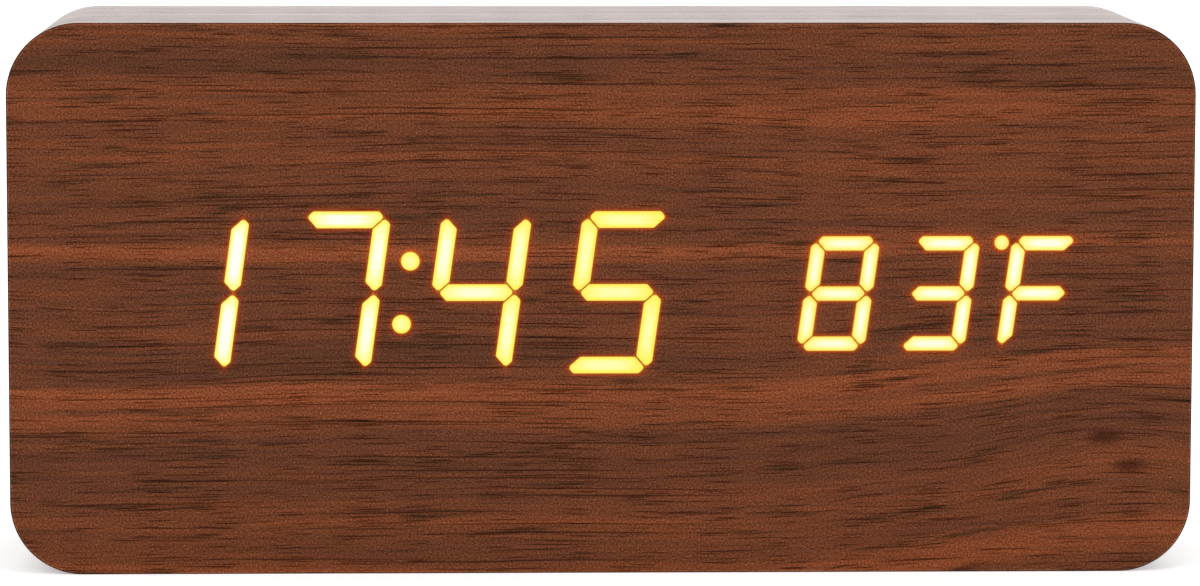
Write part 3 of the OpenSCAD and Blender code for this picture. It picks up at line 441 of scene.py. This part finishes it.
def fillEdges(rim, step, least):
    # more points along the long edges: the outline read off at its corners and at even steps of its length
    closed = np.concatenate([rim, rim[:1]])
    at = np.append(0, np.cumsum(np.linalg.norm(np.diff(closed, axis=0), axis=1)))
    read = np.unique(np.concatenate([at[:-1], np.arange(0, at[-1], step)]))
    read = read[np.append(True, np.diff(read) > least)]
    return np.stack([np.interp(read, at, closed[:, k]) for k in (0, 1)], 1)


def litPatch(rim, s):
    # from the spine to the rim: spine + (rim - spine) * share, where the spine is the rim's own long axis
    rings = np.array(s["rings"])
    middle = (rim.max(0) + rim.min(0)) / 2
    axis = np.linalg.svd(rim - middle, full_matrices=False)[2][0]
    along = (rim - middle) @ axis
    reach = along.max()
    wide = np.abs((rim - middle) @ np.array([-axis[1], axis[0]])).max()
    end = reach - wide * s["spineEnd"] if reach > wide * s["spineFrom"] else 0
    spine = middle + np.clip(along, -end, end)[:, None] * axis
    points = spine + (rim - spine) * rings[:, None, None]
    deep = np.linalg.norm(rim - spine, axis=1) * (1 - rings)[:, None]
    off = np.abs((points - middle) @ axis) / reach
    return points.reshape(-1, 2), deep.ravel(), off.ravel()


def buildLight(name, bars, dots, s):
    # each patch is a grid of rings round its spine; a dot's spine is a point, and it glows evenly
    points, faces, deep, off, count = [], [], [], [], 0
    rounded = [roundedOutline(p, s["corner"], s["cornerSteps"], s["spread"]) for p in bars]
    filled = [fillEdges(p, s["step"], s["step"] * s["leastShare"]) for p in rounded]
    for rim, evenOff in [(p, None) for p in filled] + [(p, s["dotOff"]) for p in dots]:
        p, d, o = litPatch(rim, s)
        faces.append(gridQuads(len(s["rings"]), len(rim), wrapColumns=True, start=count))
        points.append(p)
        deep.append(d)
        off.append(o if evenOff is None else np.full(len(o), evenOff))
        count += len(p)
    flat = np.concatenate(points)
    place = np.insert(flat, 1, sheetLow[1] - s["proud"], 1)
    piece = closeUp(name, place, np.concatenate(faces).tolist(), "clock")
    pointValue(piece, "rimDepth", np.concatenate(deep))
    pointValue(piece, "fromMiddle", np.concatenate(off))
    return piece


lean = math.tan(math.radians(digitSet["lean"]))
timeSet, temperatureSet = digitSet["time"], digitSet["temperature"]
colonWide, colonStep = digitSet["colon"]
degreeWide, degreeGap = digitSet["degree"]
dotGrowth, dotSteps = 2 * digitSet["dotSpread"], digitSet["dotSteps"]
unitX = temperatureSet["x"] + temperatureSet["pitch"] * (len(temperatureSet["text"]) - 1) / 2
degreeUp = (temperatureSet["high"] - degreeWide) / 2
degreeX = unitX - (temperatureSet["wide"] + degreeWide) / 2 - degreeGap + degreeUp * lean
timeBars = displayOutlines(timeSet, digitSet)
temperatureBars = displayOutlines(temperatureSet, digitSet)
timeDots = [dotOutline(timeSet["x"] + up * lean, timeSet["z"] + up, colonWide + dotGrowth, dotSteps)
            for up in (-colonStep / 2, colonStep / 2)]
temperatureDots = [dotOutline(degreeX, temperatureSet["z"] + degreeUp, degreeWide + dotGrowth, dotSteps)]
timeLight = buildLight("time_light", timeBars, timeDots, digitSet)
temperatureLight = buildLight("temperature_light", temperatureBars, temperatureDots, digitSet)
litOutlines = timeBars + timeDots + temperatureBars + temperatureDots
print("lit digits:", len(litOutlines), "patches")


glowSet = {
    "endsFrom": 0.25,  # share of the way to a tip where the light begins to fall
    "ends": 0.40,  # what is left of it at the tips
    "clear": 1.03,  # level between the pores
    "pores": 0.93,  # and behind them
    "foil": "2a1a08",
    "rough": 0.6,
    "shine": 0.05,
    "time": {"rim": 0.13, "core": 0.80, "least": 0.55,  # mm in that rim and core take, level between them
             "fade": (-0.050, 0.004, 1.06, 0.76),  # from one x to another in metres, levels there
             "shades": [(0.0, "8a3208"), (0.16, "dc9a34"), (0.36, "fdea54"), (0.58, "fdf66c"),
                        (0.80, "fefdae"), (1.0, "fefef4")]},
    "temperature": {"rim": 0.17, "core": 0.90, "least": 0.46,
                    "fade": (0.026, 0.044, 0.93, 1.03),
                    "shades": [(0.0, "a03c04"), (0.18, "e89a22"), (0.38, "fde25c"), (0.60, "fdf684"),
                               (0.82, "fefbb0"), (1.0, "fefee4")]},
}


def lightMaterial(name, glow, s):
    # level: a quick rise at the rim, a slow one to the spine, less at the ends, behind pores and at one side
    material, tree, shader = newMaterial(name)
    deep, off = pointRead(tree, "rimDepth"), pointRead(tree, "fromMiddle")
    place = objectPlace(tree)
    wood = useGroup(tree, walnut, {"Place": place})
    core = calc(tree, "MULTIPLY", fit(tree, deep, 0, glow["core"], 0, 1, True),
                fit(tree, off, s["endsFrom"], 1, 1, s["ends"], True))
    level = calc(tree, "MULTIPLY", fit(tree, deep, 0, glow["rim"]), fit(tree, core, 0, 1, glow["least"], 1))
    level = calc(tree, "MULTIPLY", level, fit(tree, wood["Dim"], 0, 1, s["clear"], s["pores"]))
    level = calc(tree, "MULTIPLY", level, fit(tree, apart(tree, place)[0], *glow["fade"]))
    wire(tree, shader, {"Base Color": srgb(s["foil"]), "Roughness": s["rough"], "Specular IOR Level": s["shine"],
                        "Emission Color": ramp(tree, level, glow["shades"]), "Emission Strength": 1.0})
    return material


timeLight.data.materials.append(lightMaterial("time glow", glowSet["time"], glowSet))
temperatureLight.data.materials.append(lightMaterial("temperature glow", glowSet["temperature"], glowSet))


# front sheet: the veneer that the digits shine through

sheetSet = {
    "edge": 0.3,  # mm, rounding of the front edge
    "edgeSteps": 5,
    "corner": 9.2,
    "cornerColumns": 26,
    "middleColumns": 330,
    "rows": 170,
    "reach": 3.0,  # mm round the lit area that is measured for its halo
}


def gapToLight(x, z, outlines, reach):
    # signed distance to the nearest lit patch: for a convex outline, the largest distance to any edge's line
    nearest = np.full(x.shape, reach)
    for p in outlines:
        normal = edgeNormals(p)
        each = normal[:, :1] * (x - p[:, :1]) + normal[:, 1:] * (z - p[:, 1:])
        nearest = np.minimum(nearest, each.max(0))
    return nearest


def buildSheet(s, low, high):
    # columns run from end to end, closer in the corners; each column spans the outline's height there:
    # z = middle + share * (half height - corner + sqrt(corner^2 - overrun^2))
    halfW = (high[0] - low[0]) / 2 - s["edge"]
    halfH = (high[2] - low[2]) / 2 - s["edge"]
    middle, corner = (high[2] + low[2]) / 2, s["corner"] - s["edge"]
    bend = np.sin(np.linspace(0, np.pi / 2, s["cornerColumns"])) * corner + halfW - corner
    x = np.concatenate([-bend[::-1], np.linspace(-bend[0], bend[0], s["middleColumns"])[1:-1], bend])
    over = np.maximum(np.abs(x) - (halfW - corner), 0)
    tall = halfH - corner + np.sqrt(np.maximum(corner ** 2 - over ** 2, 0))
    faceZ = np.linspace(-1, 1, s["rows"])[:, None] * tall
    faceX = np.broadcast_to(x, faceZ.shape)
    rows, columns = faceZ.shape
    index = np.arange(rows * columns).reshape(rows, columns)
    loop = np.concatenate([index[0, :-1], index[:-1, -1], index[-1, :0:-1], index[:0:-1, 0]])
    # the edge: a quarter round carried along the outline, then the sheet's own thickness
    px, pz = faceX.ravel()[loop], faceZ.ravel()[loop]
    outX = px - np.clip(px, corner - halfW, halfW - corner)
    outZ = pz - np.clip(pz, corner - halfH, halfH - corner)
    long = np.hypot(outX, outZ)
    turn = np.linspace(0, np.pi / 2, s["edgeSteps"] + 1)[1:]
    out = np.append(np.sin(turn), 1.0) * s["edge"]
    back = np.append((1 - np.cos(turn)) * s["edge"], high[1] - low[1])
    rimX = px + out[:, None] * outX / long
    rimZ = pz + out[:, None] * outZ / long
    rimY = np.broadcast_to(back[:, None], rimX.shape)
    points = np.stack([np.append(faceX, rimX), np.append(np.zeros(faceX.size), rimY) + low[1],
                       np.append(faceZ, rimZ) + middle], 1)
    around = len(loop)
    rings = np.arange(around * len(out)).reshape(len(out), around) + rows * columns
    rings = np.concatenate([loop[None], rings])
    ahead = np.roll(rings, -1, 1)
    rim = np.stack([rings[:-1], rings[1:], ahead[1:], ahead[:-1]], 2).reshape(-1, 4)
    faces = gridQuads(rows, columns).tolist() + rim.tolist() + [rings[-1][::-1].tolist()]
    piece = closeUp("front_sheet", points, faces, "clock", sharpAngle=60)
    pointValue(piece, "lightGap", gapToLight(points[:, 0], points[:, 2], litOutlines, s["reach"]))
    turned = np.repeat(np.append(turn / turn[-1], 1), around)
    pointValue(piece, "edgeTurn", np.append(np.zeros(faceX.size), turned))
    return piece


frontSheet = buildSheet(sheetSet, sheetLow, sheetHigh)
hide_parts("front_veneer")
print("front sheet:", len(frontSheet.data.polygons), "faces")


foilSet = {
    "paintedHighlight": (1.9, 2.2, 2.4, 1),  # painted highlight: what the pale line at the edge makes of the colour
    "highlightTurn": (0.10, 0.15, 0.30),  # where on the edge's turn the painted highlight is full, lessens and ends
    "shadeTurn": (0.15, 0.40, 0, 0.75),  # painted shade: where the edge turns away into the dark, from and to, and how far
    "shadeOffTop": (0.3, 0.8, 1, 0),  # the painted shade is left out where the edge looks up, where it would be lit
    "shine": 0.05,  # of the foil itself
    "glance": (0.70, 0.88, 0.0, 0.48),  # how far the lacquer faces away, from and to, and its weight there
    "duller": (0.20, 0.80, 0.60, 1.40),  # tone of the wood, from and to, and the share of that weight there
    "lacquer": 0.26,  # its roughness
    "relief": (0.00004, 0.4),
}
haloSet = {
    "reach": 1.3,  # mm
    "shades": [(0.0, "ac540c"), (0.12, "7a2204"), (0.34, "380e02"), (1.0, "000000")],
    "near": 0.7,  # mm in which the wood's colour is reddened by a painted glow
    "paintedGlowTint": (1.0, 0.86, 0.45, 1),
}


def foilMaterial(name, place, s, halo=None):
    material, tree, shader = newMaterial(name)
    wood = useGroup(tree, walnut, {"Place": place(tree)})
    # the foil's edge: a painted highlight as a pale line, then painted shade where it turns away, except on top
    turn = pointRead(tree, "edgeTurn")
    full, less, end = s["highlightTurn"]
    paintedHighlight = calc(tree, "MULTIPLY", fit(tree, turn, 0, full), fit(tree, turn, end, less))
    paintedShade = calc(tree, "MULTIPLY", fit(tree, turn, *s["shadeTurn"]), fit(tree, normalAlong(tree, 2), *s["shadeOffTop"]))
    colour = blend(tree, paintedHighlight, wood["Color"], s["paintedHighlight"], "MULTIPLY")
    colour = blend(tree, paintedShade, colour, walnutSet["dark"], "MULTIPLY")
    # the lacquer mirrors little from the front and much at a glance, less where the wood is dark and open
    glance = fit(tree, put(tree, "LayerWeight", {"Blend": 0.5}).outputs["Facing"], *s["glance"])
    glance = calc(tree, "MULTIPLY", glance, fit(tree, wood["Tone"], *s["duller"]))
    if halo:
        # light in the foil round the digits, and a painted glow: the digits' red light painted into the wood's
        # own colour
        gap = pointRead(tree, "lightGap")
        glow = ramp(tree, fit(tree, gap, 0, halo["reach"]), halo["shades"], "EASE")
        colour = blend(tree, fit(tree, gap, 0, halo["near"], 1, 0), colour, halo["paintedGlowTint"], "MULTIPLY")
        wire(tree, shader, {"Emission Color": glow, "Emission Strength": 1.0})
    wire(tree, shader, {"Base Color": colour, "Roughness": wood["Rough"], "Specular IOR Level": s["shine"],
                        "Coat Weight": glance, "Coat Roughness": s["lacquer"],
                        "Normal": bump(tree, wood["Height"], *s["relief"])})
    return material


frontSheet.data.materials.append(foilMaterial("lit walnut foil", objectPlace, foilSet, haloSet))


# edge band: the same foil wrapped round the case, its grain following the wrap

bandSet = {
    "thick": 0.4,
    "corner": 9.2,
    "edge": 0.3,
    "edgeSteps": 4,
    "cornerSteps": 24,
    "straightSteps": 12,
    "figure": (-0.11, 0, 0.042),  # from the wrap's own coordinates to the figure's, in metres
}


def outlinePath(halfW, halfH, corner, cornerSteps, straightSteps):
    # a rounded rectangle from the middle of its base, anticlockwise: points, outward normals and arc length
    cx, cz = halfW - corner, halfH - corner
    turn = np.linspace(0, np.pi / 2, cornerSteps)
    span = np.linspace(0, 1, straightSteps, endpoint=False)[1:, None]
    parts = []
    for k, (sx, sz) in enumerate(((1, -1), (1, 1), (-1, 1), (-1, -1))):
        angle = turn + (k - 1) * np.pi / 2
        normal = np.stack([np.cos(angle), np.sin(angle)], 1)
        arc = np.array([sx * cx, sz * cz]) + corner * normal
        side = normal[-1]
        run = np.array([-side[1], side[0]]) * 2 * (cz if k % 2 == 0 else cx)
        line = arc[-1] + span * run
        parts += [np.hstack([arc, normal]), np.hstack([line, np.broadcast_to(side, line.shape)])]
    path = np.concatenate(parts)
    path = np.roll(path, -np.argmin(np.where(path[:, 1] < 0, np.abs(path[:, 0]), np.inf)), 0)
    step = np.linalg.norm(np.roll(path[:, :2], -1, 0) - path[:, :2], axis=1)
    return path, np.append(0, np.cumsum(step))


def buildBand(s, low, high):
    # a closed strip section carried along the outline: point = path + normal * offset, at the section's depth
    middle = (high[2] + low[2]) / 2
    path, length = outlinePath((high[0] - low[0]) / 2, (high[2] - low[2]) / 2, s["corner"],
                               s["cornerSteps"], s["straightSteps"])
    turn = np.linspace(0, np.pi / 2, s["edgeSteps"] + 1)
    offset = np.concatenate([[0.0], (np.cos(turn) - 1) * s["edge"], [-s["thick"], -s["thick"]]])
    depth = np.concatenate([[low[1]], high[1] + (np.sin(turn) - 1) * s["edge"], [high[1], low[1]]])
    x = path[:, :1] + path[:, 2:3] * offset
    z = path[:, 1:2] + path[:, 3:] * offset + middle
    y = np.broadcast_to(depth, x.shape)
    quads = gridQuads(len(path), len(offset), wrapRows=True, wrapColumns=True)
    piece = closeUp("edge_band", np.stack([x, y, z], 2).reshape(-1, 3), quads.tolist(), "clock", sharpAngle=50)
    # the foil's own flat coordinates: length along the wrap, depth
    i, j = (a.ravel() for a in np.meshgrid(np.arange(len(path)), np.arange(len(offset)), indexing="ij"))
    jNext = (j + 1) % len(offset)
    corners = ((i, j), (i, jNext), (i + 1, jNext), (i + 1, j))
    flat = np.stack([np.stack([length[along], depth[across]], 1) for along, across in corners], 1)
    layer = piece.data.uv_layers.new(name="wrap")
    layer.uv.foreach_set("vector", (flat / 1000).astype(np.float32).ravel())
    return piece


def wrapPlace(tree):
    along, across, _ = apart(tree, put(tree, "UVMap", uv_map="wrap").outputs[0])
    flat = put(tree, "CombineXYZ", {0: along, 2: across}).outputs[0]
    return put(tree, "VectorMath", {0: flat, 1: bandSet["figure"]}, operation="ADD").outputs[0]


edgeBand = buildBand(bandSet, *boxOf("edge_veneer"))
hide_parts("edge_veneer")
edgeBand.data.materials.append(foilMaterial("wrapped walnut foil", wrapPlace, foilSet))
print("edge band:", len(edgeBand.data.polygons), "faces")


# finishes of the CAD nodes

skinSet = {
    "slowTone": (90.0, 0.6),  # slow changes of a moulding's tone per metre, share
    "pitTone": 0.4,  # share of the pits
    "drawn": (400, 400, 6000),  # lines of a plated metal
    "cloud": 350.0,
}


def mouldGroup(s):
    # spark texture of a mould: fine pits, with slow changes of tone
    tree, given, made = newGroup("mouldTexture", [("Place", "Vector"), ("Pits", "Float")],
                                 [("Height", "Float"), ("Tone", "Float")])
    slowScale, slowShare = s["slowTone"]
    fine = noise(tree, given["Place"], given["Pits"], 2)
    slow = calc(tree, "MULTIPLY", noise(tree, given["Place"], slowScale), slowShare)
    wire(tree, made, {"Height": fine, "Tone": calc(tree, "MULTIPLY_ADD", fine, s["pitTone"], slow)})
    return tree


def rubGroup(s):
    # plated metal: fine drawn lines one way and cloudy stains
    tree, given, made = newGroup("platedRub", [("Place", "Vector")], [("Lines", "Float"), ("Cloud", "Float")])
    wire(tree, made, {"Lines": noise(tree, stretch(tree, given["Place"], s["drawn"]), detail=2),
                      "Cloud": noise(tree, given["Place"], s["cloud"], 4)})
    return tree


mould, rub = mouldGroup(skinSet), rubGroup(skinSet)


def plastic(name, dark, pale, rough, pits=2500.0, relief=(0.00002, 0.35), shine=0.4):
    material, tree, shader = newMaterial(name)
    skin = useGroup(tree, mould, {"Place": objectPlace(tree), "Pits": pits})
    wire(tree, shader, {"Base Color": blend(tree, spread(tree, skin["Tone"]), srgb(dark), srgb(pale)),
                        "Roughness": spread(tree, skin["Tone"], rough - 0.06, rough + 0.08),
                        "Specular IOR Level": shine, "Normal": bump(tree, skin["Height"], *relief)})
    return material


def metal(name, dark, pale, rough, relief=(0.000004, 0.3)):
    material, tree, shader = newMaterial(name)
    skin = useGroup(tree, rub, {"Place": objectPlace(tree)})
    wire(tree, shader, {"Base Color": blend(tree, spread(tree, skin["Cloud"]), srgb(dark), srgb(pale)),
                        "Roughness": spread(tree, skin["Lines"], rough - 0.08, rough + 0.10), "Metallic": 1.0,
                        "Normal": bump(tree, skin["Lines"], *relief)})
    return material


boardSet = {
    "fibre": ((1400, 1800, 1400), 4, 0.7),  # per metre, detail, roughness
    "clump": (260.0, 4, 0.65),
    "fibreShare": 0.55,
    "shades": [(0.30, "70512f"), (0.45, "8f6c45"), (0.58, "a68259"), (0.75, "bd9a70")],
    "rough": (0.95, 0.78),
    "shine": 0.2,
    "relief": (0.00008, 0.5),
}


def board(s):
    # fibreboard: pressed fibres, paler and darker, with a dusty cut surface
    material, tree, shader = newMaterial("fibreboard")
    place = objectPlace(tree)
    scale, detail, roughness = s["fibre"]
    fibre = noise(tree, stretch(tree, place, scale), 1, detail, roughness)
    clump = calc(tree, "MULTIPLY", noise(tree, place, *s["clump"]), 1 - s["fibreShare"])
    tone = calc(tree, "MULTIPLY_ADD", fibre, s["fibreShare"], clump)
    wire(tree, shader, {"Base Color": ramp(tree, tone, s["shades"]), "Roughness": spread(tree, tone, *s["rough"]),
                        "Specular IOR Level": s["shine"], "Normal": bump(tree, fibre, *s["relief"])})
    return material


cellSet = {
    "wrap": ("4f6170", "60727f"),
    "ring": "c9ccca",
    "ringAt": (0.700, 0.703, 0.757, 0.760),  # share of the length where it fades in and out
    "steel": "b9babd",
    "end": (0.80, 0.86),  # how far a bare end faces along the cell
    "slow": 160.0,
    "metal": 0.75,
    "rough": (0.26, 0.38),
    "coat": 0.3,
}


def cells(s):
    # a foil wrap with one pale ring, bare steel at the ends; it follows each cell's own axis
    material, tree, shader = newMaterial("cell wrap")
    low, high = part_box("battery_cells")
    place = objectPlace(tree)
    along = fit(tree, apart(tree, place)[0], low.x, high.x)
    end = fit(tree, calc(tree, "ABSOLUTE", normalAlong(tree, 0)), *s["end"])
    start, full, less, stop = s["ringAt"]
    ring = calc(tree, "MULTIPLY", fit(tree, along, start, full), fit(tree, along, stop, less))
    slow = noise(tree, place, s["slow"])
    wrap = blend(tree, spread(tree, slow), *(srgb(c) for c in s["wrap"]))
    wrap = blend(tree, ring, wrap, srgb(s["ring"]))
    wire(tree, shader, {"Base Color": blend(tree, end, wrap, srgb(s["steel"])), "Metallic": s["metal"],
                        "Roughness": spread(tree, slow, *s["rough"]), "Coat Weight": s["coat"]})
    return material


circuitSet = {
    "traces": 120.0,  # per metre
    "traceGap": 0.03,
    "fields": ((1, 1, 1, 1), (0.6, 0.6, 0.6, 1), (0, 0, 0, 1)),  # levels of copper fields and of the gaps
    "mask": ("1d6b3a", "0e4a26"),
    "stain": "0b3a20",
    "stained": (0.35, 0.7, 0, 0.3),
    "slow": 120.0,
    "rough": (0.28, 0.42),
    "relief": (0.00003, 0.4),
}


def circuit(s):
    # solder mask over copper: rows of fields that the mask stands up over
    material, tree, shader = newMaterial("solder mask")
    place = objectPlace(tree)
    x, _, z = apart(tree, place)
    flat = put(tree, "CombineXYZ", {0: x, 1: z}).outputs[0]
    one, other, gap = s["fields"]
    trace = put(tree, "TexBrick", {"Vector": flat, "Scale": s["traces"], "Mortar Size": s["traceGap"],
                                   "Color1": one, "Color2": other, "Mortar": gap}).outputs[0]
    slow = noise(tree, place, s["slow"])
    colour = blend(tree, trace, *(srgb(c) for c in s["mask"]))
    colour = blend(tree, fit(tree, slow, *s["stained"]), colour, srgb(s["stain"]))
    wire(tree, shader, {"Base Color": colour, "Roughness": spread(tree, slow, *s["rough"]),
                        "Normal": bump(tree, trace, *s["relief"])})
    return material


ribbonSet = {
    "shades": ("9b9ca0", "6c6d72"),  # of the runs and of the lines between them
    "line": (-1.0, -0.6, 0.75, 0),  # the wave's low part, and how strong the line is there
    "pitch": 0.0012,
    "slow": 300.0,
    "rough": (0.40, 0.58),
    "relief": (0.0001, 0.5),
}


def ribbon(s):
    # insulation in parallel runs: a line across the part at an even pitch
    material, tree, shader = newMaterial("ribbon insulation")
    place = objectPlace(tree)
    wave = calc(tree, "SINE", calc(tree, "MULTIPLY", apart(tree, place)[0], 2 * math.pi / s["pitch"]))
    colour = blend(tree, fit(tree, wave, *s["line"]), *(srgb(c) for c in s["shades"]))
    slow = noise(tree, place, s["slow"])
    wire(tree, shader, {"Base Color": colour, "Roughness": spread(tree, slow, *s["rough"]),
                        "Normal": bump(tree, wave, *s["relief"])})
    return material


def lens(name, inner, outer, glow=0.0, cloudy=700.0, rough=(0.28, 0.40)):
    # milky lens: cloudy filler, lit from behind where it glows
    material, tree, shader = newMaterial(name)
    cloud = noise(tree, objectPlace(tree), cloudy)
    colour = blend(tree, spread(tree, cloud), srgb(inner), srgb(outer))
    wire(tree, shader, {"Base Color": colour, "Roughness": spread(tree, cloud, *rough)})
    if glow:
        wire(tree, shader, {"Emission Color": colour, "Emission Strength": glow})
    return material


finishes = {
    "fibreboard": board(boardSet),
    "cover_plastic": plastic("cover plastic", "17171a", "222226", 0.50, 2600.0, (0.00003, 0.5)),
    "button_plastic": plastic("button plastic", "141416", "1c1c20", 0.32, 4200.0, (0.00001, 0.15), 0.5),
    "black_screw": metal("black oxide", "1b1b1e", "34343a", 0.42),
    "zinc_screw": metal("zinc plate", "9a9ca0", "c4c6ca", 0.32),
    "reflector": plastic("reflector plastic", "333336", "46464a", 0.62),
    "lit_lens": lens("lit lens", "fff2b0", "ffe27a", 1.0),
    "dark_lens": lens("unlit lens", "56534c", "6a665c"),
    "led": lens("phosphor", "f2d27a", "e6bc4e"),
    "circuit_board": circuit(circuitSet),
    "chip_plastic": plastic("moulded epoxy", "16161a", "232327", 0.60),
    "resistor": plastic("black glaze", "1b1b1e", "2d2d31", 0.30),
    "tinned": metal("tin plate", "a4a6aa", "ccced2", 0.30),
    "capacitor_sleeve": plastic("shrunk sleeve", "20305f", "2c4078", 0.26),
    "part_plastic": plastic("part plastic", "18181b", "262629", 0.48),
    "plunger_plastic": plastic("plunger plastic", "3c3c3f", "4e4e52", 0.44),
    "coin_steel": metal("coin steel", "a9abae", "d0d1d4", 0.24),
    "connector": plastic("ivory nylon", "d3cbb4", "e4dcc7", 0.46),
    "ribbon": ribbon(ribbonSet),
    "boot_rubber": plastic("boot rubber", "121213", "1d1d1f", 0.78),
    "bead": plastic("dipped bead", "8a4a20", "a15c2b", 0.30),
    "cell_can": cells(cellSet),
    "contact": metal("nickel plate", "a3a4a6", "cfcfd0", 0.26),
    "red_wire": plastic("red insulation", "8e1c1c", "a32626", 0.36),
    "black_wire": plastic("black insulation", "121214", "1d1d20", 0.38),
}
slotOf = {p["node"]: p["material_slot"] for p in frame["record"]["subparts"]}
for nodeName, nodeObject in frame["nodes"].items():
    if slotOf[nodeName] in finishes:
        nodeObject.data.materials.clear()
        nodeObject.data.materials.append(finishes[slotOf[nodeName]])
print("finishes:", len(finishes))


# marks printed on the back: a ring and two arrows above the buttons, an arrow by the door's grips

markSet = {
    "up": 6.6,  # mm above a button's middle
    "wide": 3.4,
    "tall": 0.4,  # half an arrow's height, in widths
    "line": 0.6,  # width of the ring's line
    "proud": 0.06,  # thickness of the ink
    "sunk": 0.02,
    "corner": 0.2,
    "cornerSteps": 4,
    "ringSteps": 48,
    "fromEnd": 13.6,  # the door's arrow, from the end with the snap
}
coverY = boxOf("back_cover")[1][1]
ink = plastic("printed ink", "a6a7a4", "bcbdba", 0.55)


def aboveButton(node, s):
    # x and z of the mark over a button
    low, high = boxOf(node)
    return (low[0] + high[0]) / 2, (low[2] + high[2]) / 2 + s["up"]


def arrowOutline(x, z, turn, s):
    # a triangle with round corners, turned anticlockwise from pointing up
    half, tall = s["wide"] / 2, s["wide"] * s["tall"]
    c, n = math.cos(math.radians(turn)), math.sin(math.radians(turn))
    p = np.array([(-half, -tall), (half, -tall), (0, tall)]) @ np.array([(c, n), (-n, c)])
    return roundedOutline(p, s["corner"], s["cornerSteps"], 0) + (x, z)


def buildMarks(name, body, arrows, rings, s):
    # an arrow is its outline at two depths with both ends closed; a ring is a square section carried round
    low, high = coverY - s["sunk"], coverY + s["proud"]
    points, faces, count = [], [], 0
    for outline in arrows:
        n = len(outline)
        points += [np.insert(outline, 1, depth, 1) for depth in (low, high)]
        faces += gridQuads(2, n, wrapColumns=True, start=count)[:, ::-1].tolist()
        faces += [list(range(count, count + n)), list(range(count + 2 * n - 1, count + n - 1, -1))]
        count += 2 * n
    for outer, inner in rings:
        section = ((outer, low), (outer, high), (inner, high), (inner, low))
        points += [np.insert(outline, 1, depth, 1) for outline, depth in section]
        faces += gridQuads(4, len(outer), wrapRows=True, wrapColumns=True, start=count)[:, ::-1].tolist()
        count += 4 * len(outer)
    piece = closeUp(name, np.concatenate(points), faces, body)
    piece.data.materials.append(ink)


setPlace, upPlace, downPlace = (aboveButton(b, markSet) for b in ("set_button", "up_button", "down_button"))
doorLow, doorHigh = boxOf("battery_door")
doorPlace = doorHigh[0] - markSet["fromEnd"], (doorLow[2] + doorHigh[2]) / 2
setRing = [dotOutline(*setPlace, wide, markSet["ringSteps"])
           for wide in (markSet["wide"], markSet["wide"] - 2 * markSet["line"])]
buttonArrows = [arrowOutline(*upPlace, 0, markSet), arrowOutline(*downPlace, 180, markSet)]
buildMarks("button_marks", "clock", buttonArrows, [setRing], markSet)
buildMarks("door_mark", "battery_door", [arrowOutline(*doorPlace, 90, markSet)], [], markSet)
print("marks printed")


# floor, world and lamps

stageSet = {
    "floorHalf": 4.0,
    "floorColour": (0.84, 0.84, 0.84, 1),
    "floorRough": 0.9,
    "floorLift": 0.42,  # added for the camera and mirrors only, so that the open floor is white
    "white": (1, 1, 1, 1),
    "sky": 0.55,
    "lamps": [("key", (-0.55, -0.95, 0.95), 0.9, 8.0), ("fill", (0.8, -0.7, 0.7), 0.9, 4.0),
              ("back", (0.2, 0.9, 1.0), 0.9, 7.0)],  # name, place, size, power
    "aim": (0, 0, 0.035),
}


def seenDirectly(tree):
    # 1 for the camera and for what mirrors and glass show, 0 for the light that falls on the clock
    path = put(tree, "LightPath").outputs
    mirrored = calc(tree, "ADD", path["Is Glossy Ray"], path["Is Transmission Ray"])
    return calc(tree, "ADD", path["Is Camera Ray"], mirrored, clamp=True)


def addFloor(s):
    h = s["floorHalf"]
    mesh = bpy.data.meshes.new("floor")
    mesh.from_pydata([(-h, -h, 0), (h, -h, 0), (h, h, 0), (-h, h, 0)], [], [(0, 1, 2, 3)])
    floor = bpy.data.objects.new("floor", mesh)
    scene.collection.objects.link(floor)
    material, tree, shader = newMaterial("pale floor")
    wire(tree, shader, {"Base Color": s["floorColour"], "Roughness": s["floorRough"], "Specular IOR Level": 0.0,
                        "Emission Color": s["white"],
                        "Emission Strength": calc(tree, "MULTIPLY", seenDirectly(tree), s["floorLift"])})
    mesh.materials.append(material)


def addWorld(s):
    world = bpy.data.worlds.new("studio")
    scene.world = world
    world.use_nodes = True
    tree = world.node_tree
    wire(tree, tree.nodes["Background"], {"Color": s["white"],
                                          "Strength": fit(tree, seenDirectly(tree), 0, 1, s["sky"], 1.0)})


def addLamps(s):
    for name, place, size, power in s["lamps"]:
        data = bpy.data.lights.new(name, "AREA")
        data.size, data.energy = size, power
        lamp = bpy.data.objects.new(name, data)
        back = np.array(place) - np.array(s["aim"])
        back /= np.linalg.norm(back)
        right = np.cross((0, 0, 1), back)
        right /= np.linalg.norm(right)
        lamp.matrix_world = placeBy(right, np.cross(back, right), back, place)
        scene.collection.objects.link(lamp)


addFloor(stageSet)
addWorld(stageSet)
addLamps(stageSet)
print("stage set")
